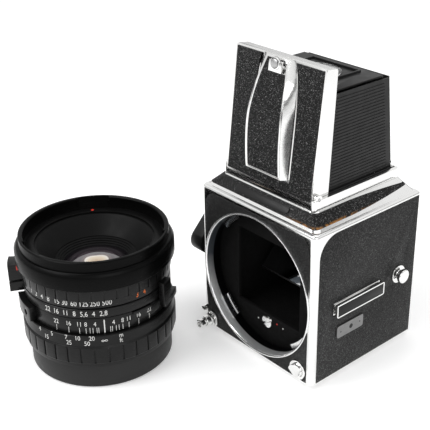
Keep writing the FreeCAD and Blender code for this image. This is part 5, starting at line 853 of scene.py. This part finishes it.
def red_marks():
    """Red dot on the name ring, and red bar beside the shutter ring's tab."""
    spot = on_lens(RED_DOT_OUT, RED_DOT_SWING, 0)
    spot.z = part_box("name_ring")[1].z
    drum("name_ring_dot", RED_DOT_RADIUS, RED_DOT_ENDS, spot, Vector((0, 0, 1)), "lens", RED_PAINT, steps=24)
    bm = bmesh.new()
    bmesh.ops.create_cube(bm, size=1.0)
    turn = Matrix.Rotation(math.radians(INDEX_AZIMUTH + RED_BAR_SWING), 3, "Z")
    centre = on_lens(RED_BAR_OUT, RED_BAR_SWING, RED_BAR_HEIGHT)
    for v in bm.verts:
        local = Vector([share * size for share, size in zip(v.co, RED_BAR_SIZE)]) * MM
        v.co = centre + turn @ local
    piece_from("red_bar", mesh_of(bm, "red_bar"), "shutter", RED_PAINT, RED_BAR_EDGE)


def on_lid(x, out, along):
    """A point of the open lid: across it, out of its face and along it, in mm."""
    lean = math.radians(LID_LEAN)
    y = LID_FOOT[0] - out * math.cos(lean) + along * math.sin(lean)
    z = LID_FOOT[1] + out * math.sin(lean) + along * math.cos(lean)
    return Vector((x, y, z)) * MM


def panel_half(along):
    """Half the panel's width, the same up to its waist and narrower beyond."""
    share = max(0.0, (along - PANEL_WAIST) / (LID_LENGTH - PANEL_WAIST))
    return PANEL_HALF[0] + (PANEL_HALF[1] - PANEL_HALF[0]) * share ** 2


def panel_rise(along):
    """The panel's height over the lid, from its foot up to its crest and down to its tip."""
    foot, crest, tip = PANEL_RISE
    if along < PANEL_CREST:
        return crest + (foot - crest) * ((PANEL_CREST - along) / (PANEL_CREST - PANEL_LOW)) ** 2
    return crest + (tip - crest) * ((along - PANEL_CREST) / (LID_LENGTH - PANEL_CREST)) ** 1.5


def panel_bead():
    """Bright half-round bead round the curved panel's leather, sunk where the knob's tab slides."""
    flank = []
    for i in range(BEAD_STEPS + 1):
        along = PANEL_LOW + BEAD_INSET + (PANEL_HIGH - PANEL_LOW - 2 * BEAD_INSET) * i / BEAD_STEPS
        sink = BEAD_RADIUS * min(1.0, max(0.0, (along - BEAD_SINKS[0]) / (BEAD_SINKS[1] - BEAD_SINKS[0])))
        flank.append((panel_half(along) - BEAD_INSET, panel_rise(along) - sink, along))
    points = [on_lid(-half, rise, along) for half, rise, along in flank]
    points += [on_lid(half, rise, along) for half, rise, along in reversed(flank)]
    curve = bpy.data.curves.new("panel_bead", "CURVE")
    curve.dimensions = "3D"
    curve.bevel_depth = BEAD_RADIUS * MM
    curve.bevel_resolution = 3
    line = curve.splines.new("POLY")
    line.points.add(len(points) - 1)
    for point, place in zip(line.points, points):
        point.co = (*place, 1)
    line.use_cyclic_u = True
    piece_from("panel_bead", mesh_from_curve(curve), "lid", CHROME)


def knob_face():
    """Painted shade as dark rings in the groove and round the edge, and a domed middle, on the latch knob."""
    lean = math.radians(LID_LEAN)
    normal = Vector((0, -math.cos(lean), math.sin(lean)))
    mesh = nodes["latch_knob"].data
    front = max(v.co.dot(normal) for v in mesh.vertices)
    face = [v.co for v in mesh.vertices if v.co.dot(normal) > front - KNOB_FACE_DEPTH * MM]
    centre = sum(face, Vector()) / len(face)
    for name, profile, look in KNOB_PARTS:
        material = STEEL if look == "steel" else BLACK_INLAY_AND_SHADE
        lathe(name, profile, centre, normal, "lid_latch", material, steps=40)


def flange_dots():
    """Small dots of paint beside the coupling."""
    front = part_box("lens_flange")[0].y
    for name, x, z, radius, color in FLANGE_DOTS:
        paint = RED_PAINT if color == "red" else WHITE_PAINT
        spot = Vector((x * MM, front, z * MM))
        drum(name, radius, FLANGE_DOT_ENDS, spot, Vector((0, -1, 0)), "camera_body", paint, steps=20)


def plate_details():
    """Painted shade as a black disc in the bore, and two small marks on the side plate."""
    low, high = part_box("side_plate")
    out = Vector((1, 0, 0))
    bore = Vector((high.x, low.y + PLATE_BORE_PLACE * MM, (low.z + high.z) / 2))
    drum("plate_bore_shade", PLATE_BORE_RADIUS, PLATE_BORE_ENDS, bore, out, "camera_body", BLACK_INLAY_AND_SHADE, steps=32)
    for name, along, up in PLATE_MARKS:
        spot = Vector((high.x, low.y + along * MM, low.z + up * MM))
        drum(name, PLATE_MARK_RADIUS, PLATE_MARK_ENDS, spot, out, "camera_body", BLACK_INLAY_AND_SHADE, steps=16)


rail_inset()
lug_neck_shades()
red_marks()
flange_dots()
plate_details()
panel_bead()
knob_face()


# Studio: pale floor, soft light and the photograph's camera

def make_floor():
    """Pale floor, with a glow that lights nothing and is seen only directly and in mirrors."""
    s = Shader("pale_floor")
    s.color((FLOOR_COLOR,) * 3)
    s.set(Roughness=0.9, Specular_IOR_Level=0.0, Emission_Color=(1, 1, 1, 1))
    ray = s.node("ShaderNodeLightPath").outputs
    seen = s.math("MAXIMUM", ray["Is Camera Ray"], ray["Is Glossy Ray"])
    s.link(s.math("MULTIPLY", seen, FLOOR_GLOW), s.surface.inputs["Emission Strength"])
    bm = bmesh.new()
    bmesh.ops.create_grid(bm, x_segments=1, y_segments=1, size=FLOOR_SIZE / 2)
    mesh = bpy.data.meshes.new("floor")
    bm.to_mesh(mesh)
    bm.free()
    mesh.materials.append(s.material)
    floor = put("floor", mesh)


def make_world():
    """Even sky for the light, white behind the model, and bands for what shiny metal mirrors."""
    world = bpy.data.worlds.new("studio")
    bpy.context.scene.world = world
    world.use_nodes = True
    world.node_tree.nodes.clear()
    w = Nodes(world.node_tree)
    light = w.node("ShaderNodeBackground", Color=(1, 1, 1, 1), Strength=SKY_STRENGTH)
    shown = w.node("ShaderNodeBackground", Strength=1.0)
    ray = w.node("ShaderNodeLightPath").outputs
    mirrored = w.math("MAXIMUM", ray["Is Glossy Ray"], ray["Is Transmission Ray"])
    split = w.node("ShaderNodeSeparateXYZ")
    w.link(w.node("ShaderNodeTexCoord").outputs["Generated"], split.inputs["Vector"])
    height = w.range(split.outputs["Z"], 0.0, 1.0, -1.0)
    bands = w.ramp(height, *[(at, (tone,) * 3) for at, tone in SKY_BAND])
    w.link(w.mix(ray["Is Camera Ray"], bands, (1, 1, 1)), shown.inputs["Color"])
    sky = w.node("ShaderNodeMixShader")
    w.link(w.math("MAXIMUM", mirrored, ray["Is Camera Ray"]), sky.inputs["Fac"])
    w.link(light.outputs["Background"], sky.inputs[1])
    w.link(shown.outputs["Background"], sky.inputs[2])
    w.link(sky.outputs["Shader"], w.node("ShaderNodeOutputWorld").inputs["Surface"])


def area_light(name, place, target, side, power):
    """A square lamp that faces its target."""
    lamp = bpy.data.lights.new(name, "AREA")
    lamp.shape = "RECTANGLE"
    lamp.size = lamp.size_y = side
    lamp.energy = power
    made = put(name, lamp)
    made.location = place
    made.rotation_euler = (Vector(target) - Vector(place)).to_track_quat("-Z", "Y").to_euler()


def make_camera():
    """The camera that sees the model as in the photograph."""
    data = bpy.data.cameras.new("camera")
    data.lens = LENS_MM
    data.sensor_width = SENSOR_MM
    data.shift_x = SHIFT_X
    data.shift_y = SHIFT_Y
    data.clip_start, data.clip_end = CLIP
    azimuth, pitch = math.radians(CAMERA_AZIMUTH), math.radians(CAMERA_PITCH)
    level = math.cos(pitch)
    ahead = Vector((-math.sin(azimuth) * level, math.cos(azimuth) * level, -math.sin(pitch)))
    upright = ahead.to_track_quat("-Z", "Y").to_matrix().to_4x4()
    made = put("camera", data)
    made.matrix_world = (Matrix.Translation(Vector(CAMERA_PLACE) * MM) @ upright
                         @ Matrix.Rotation(math.radians(CAMERA_ROLL), 4, "Z"))
    bpy.context.scene.camera = made


make_floor()
make_world()
for lamp_values in LAMPS:
    area_light(*lamp_values)
make_camera()
bpy.context.scene.view_settings.view_transform = "Standard"
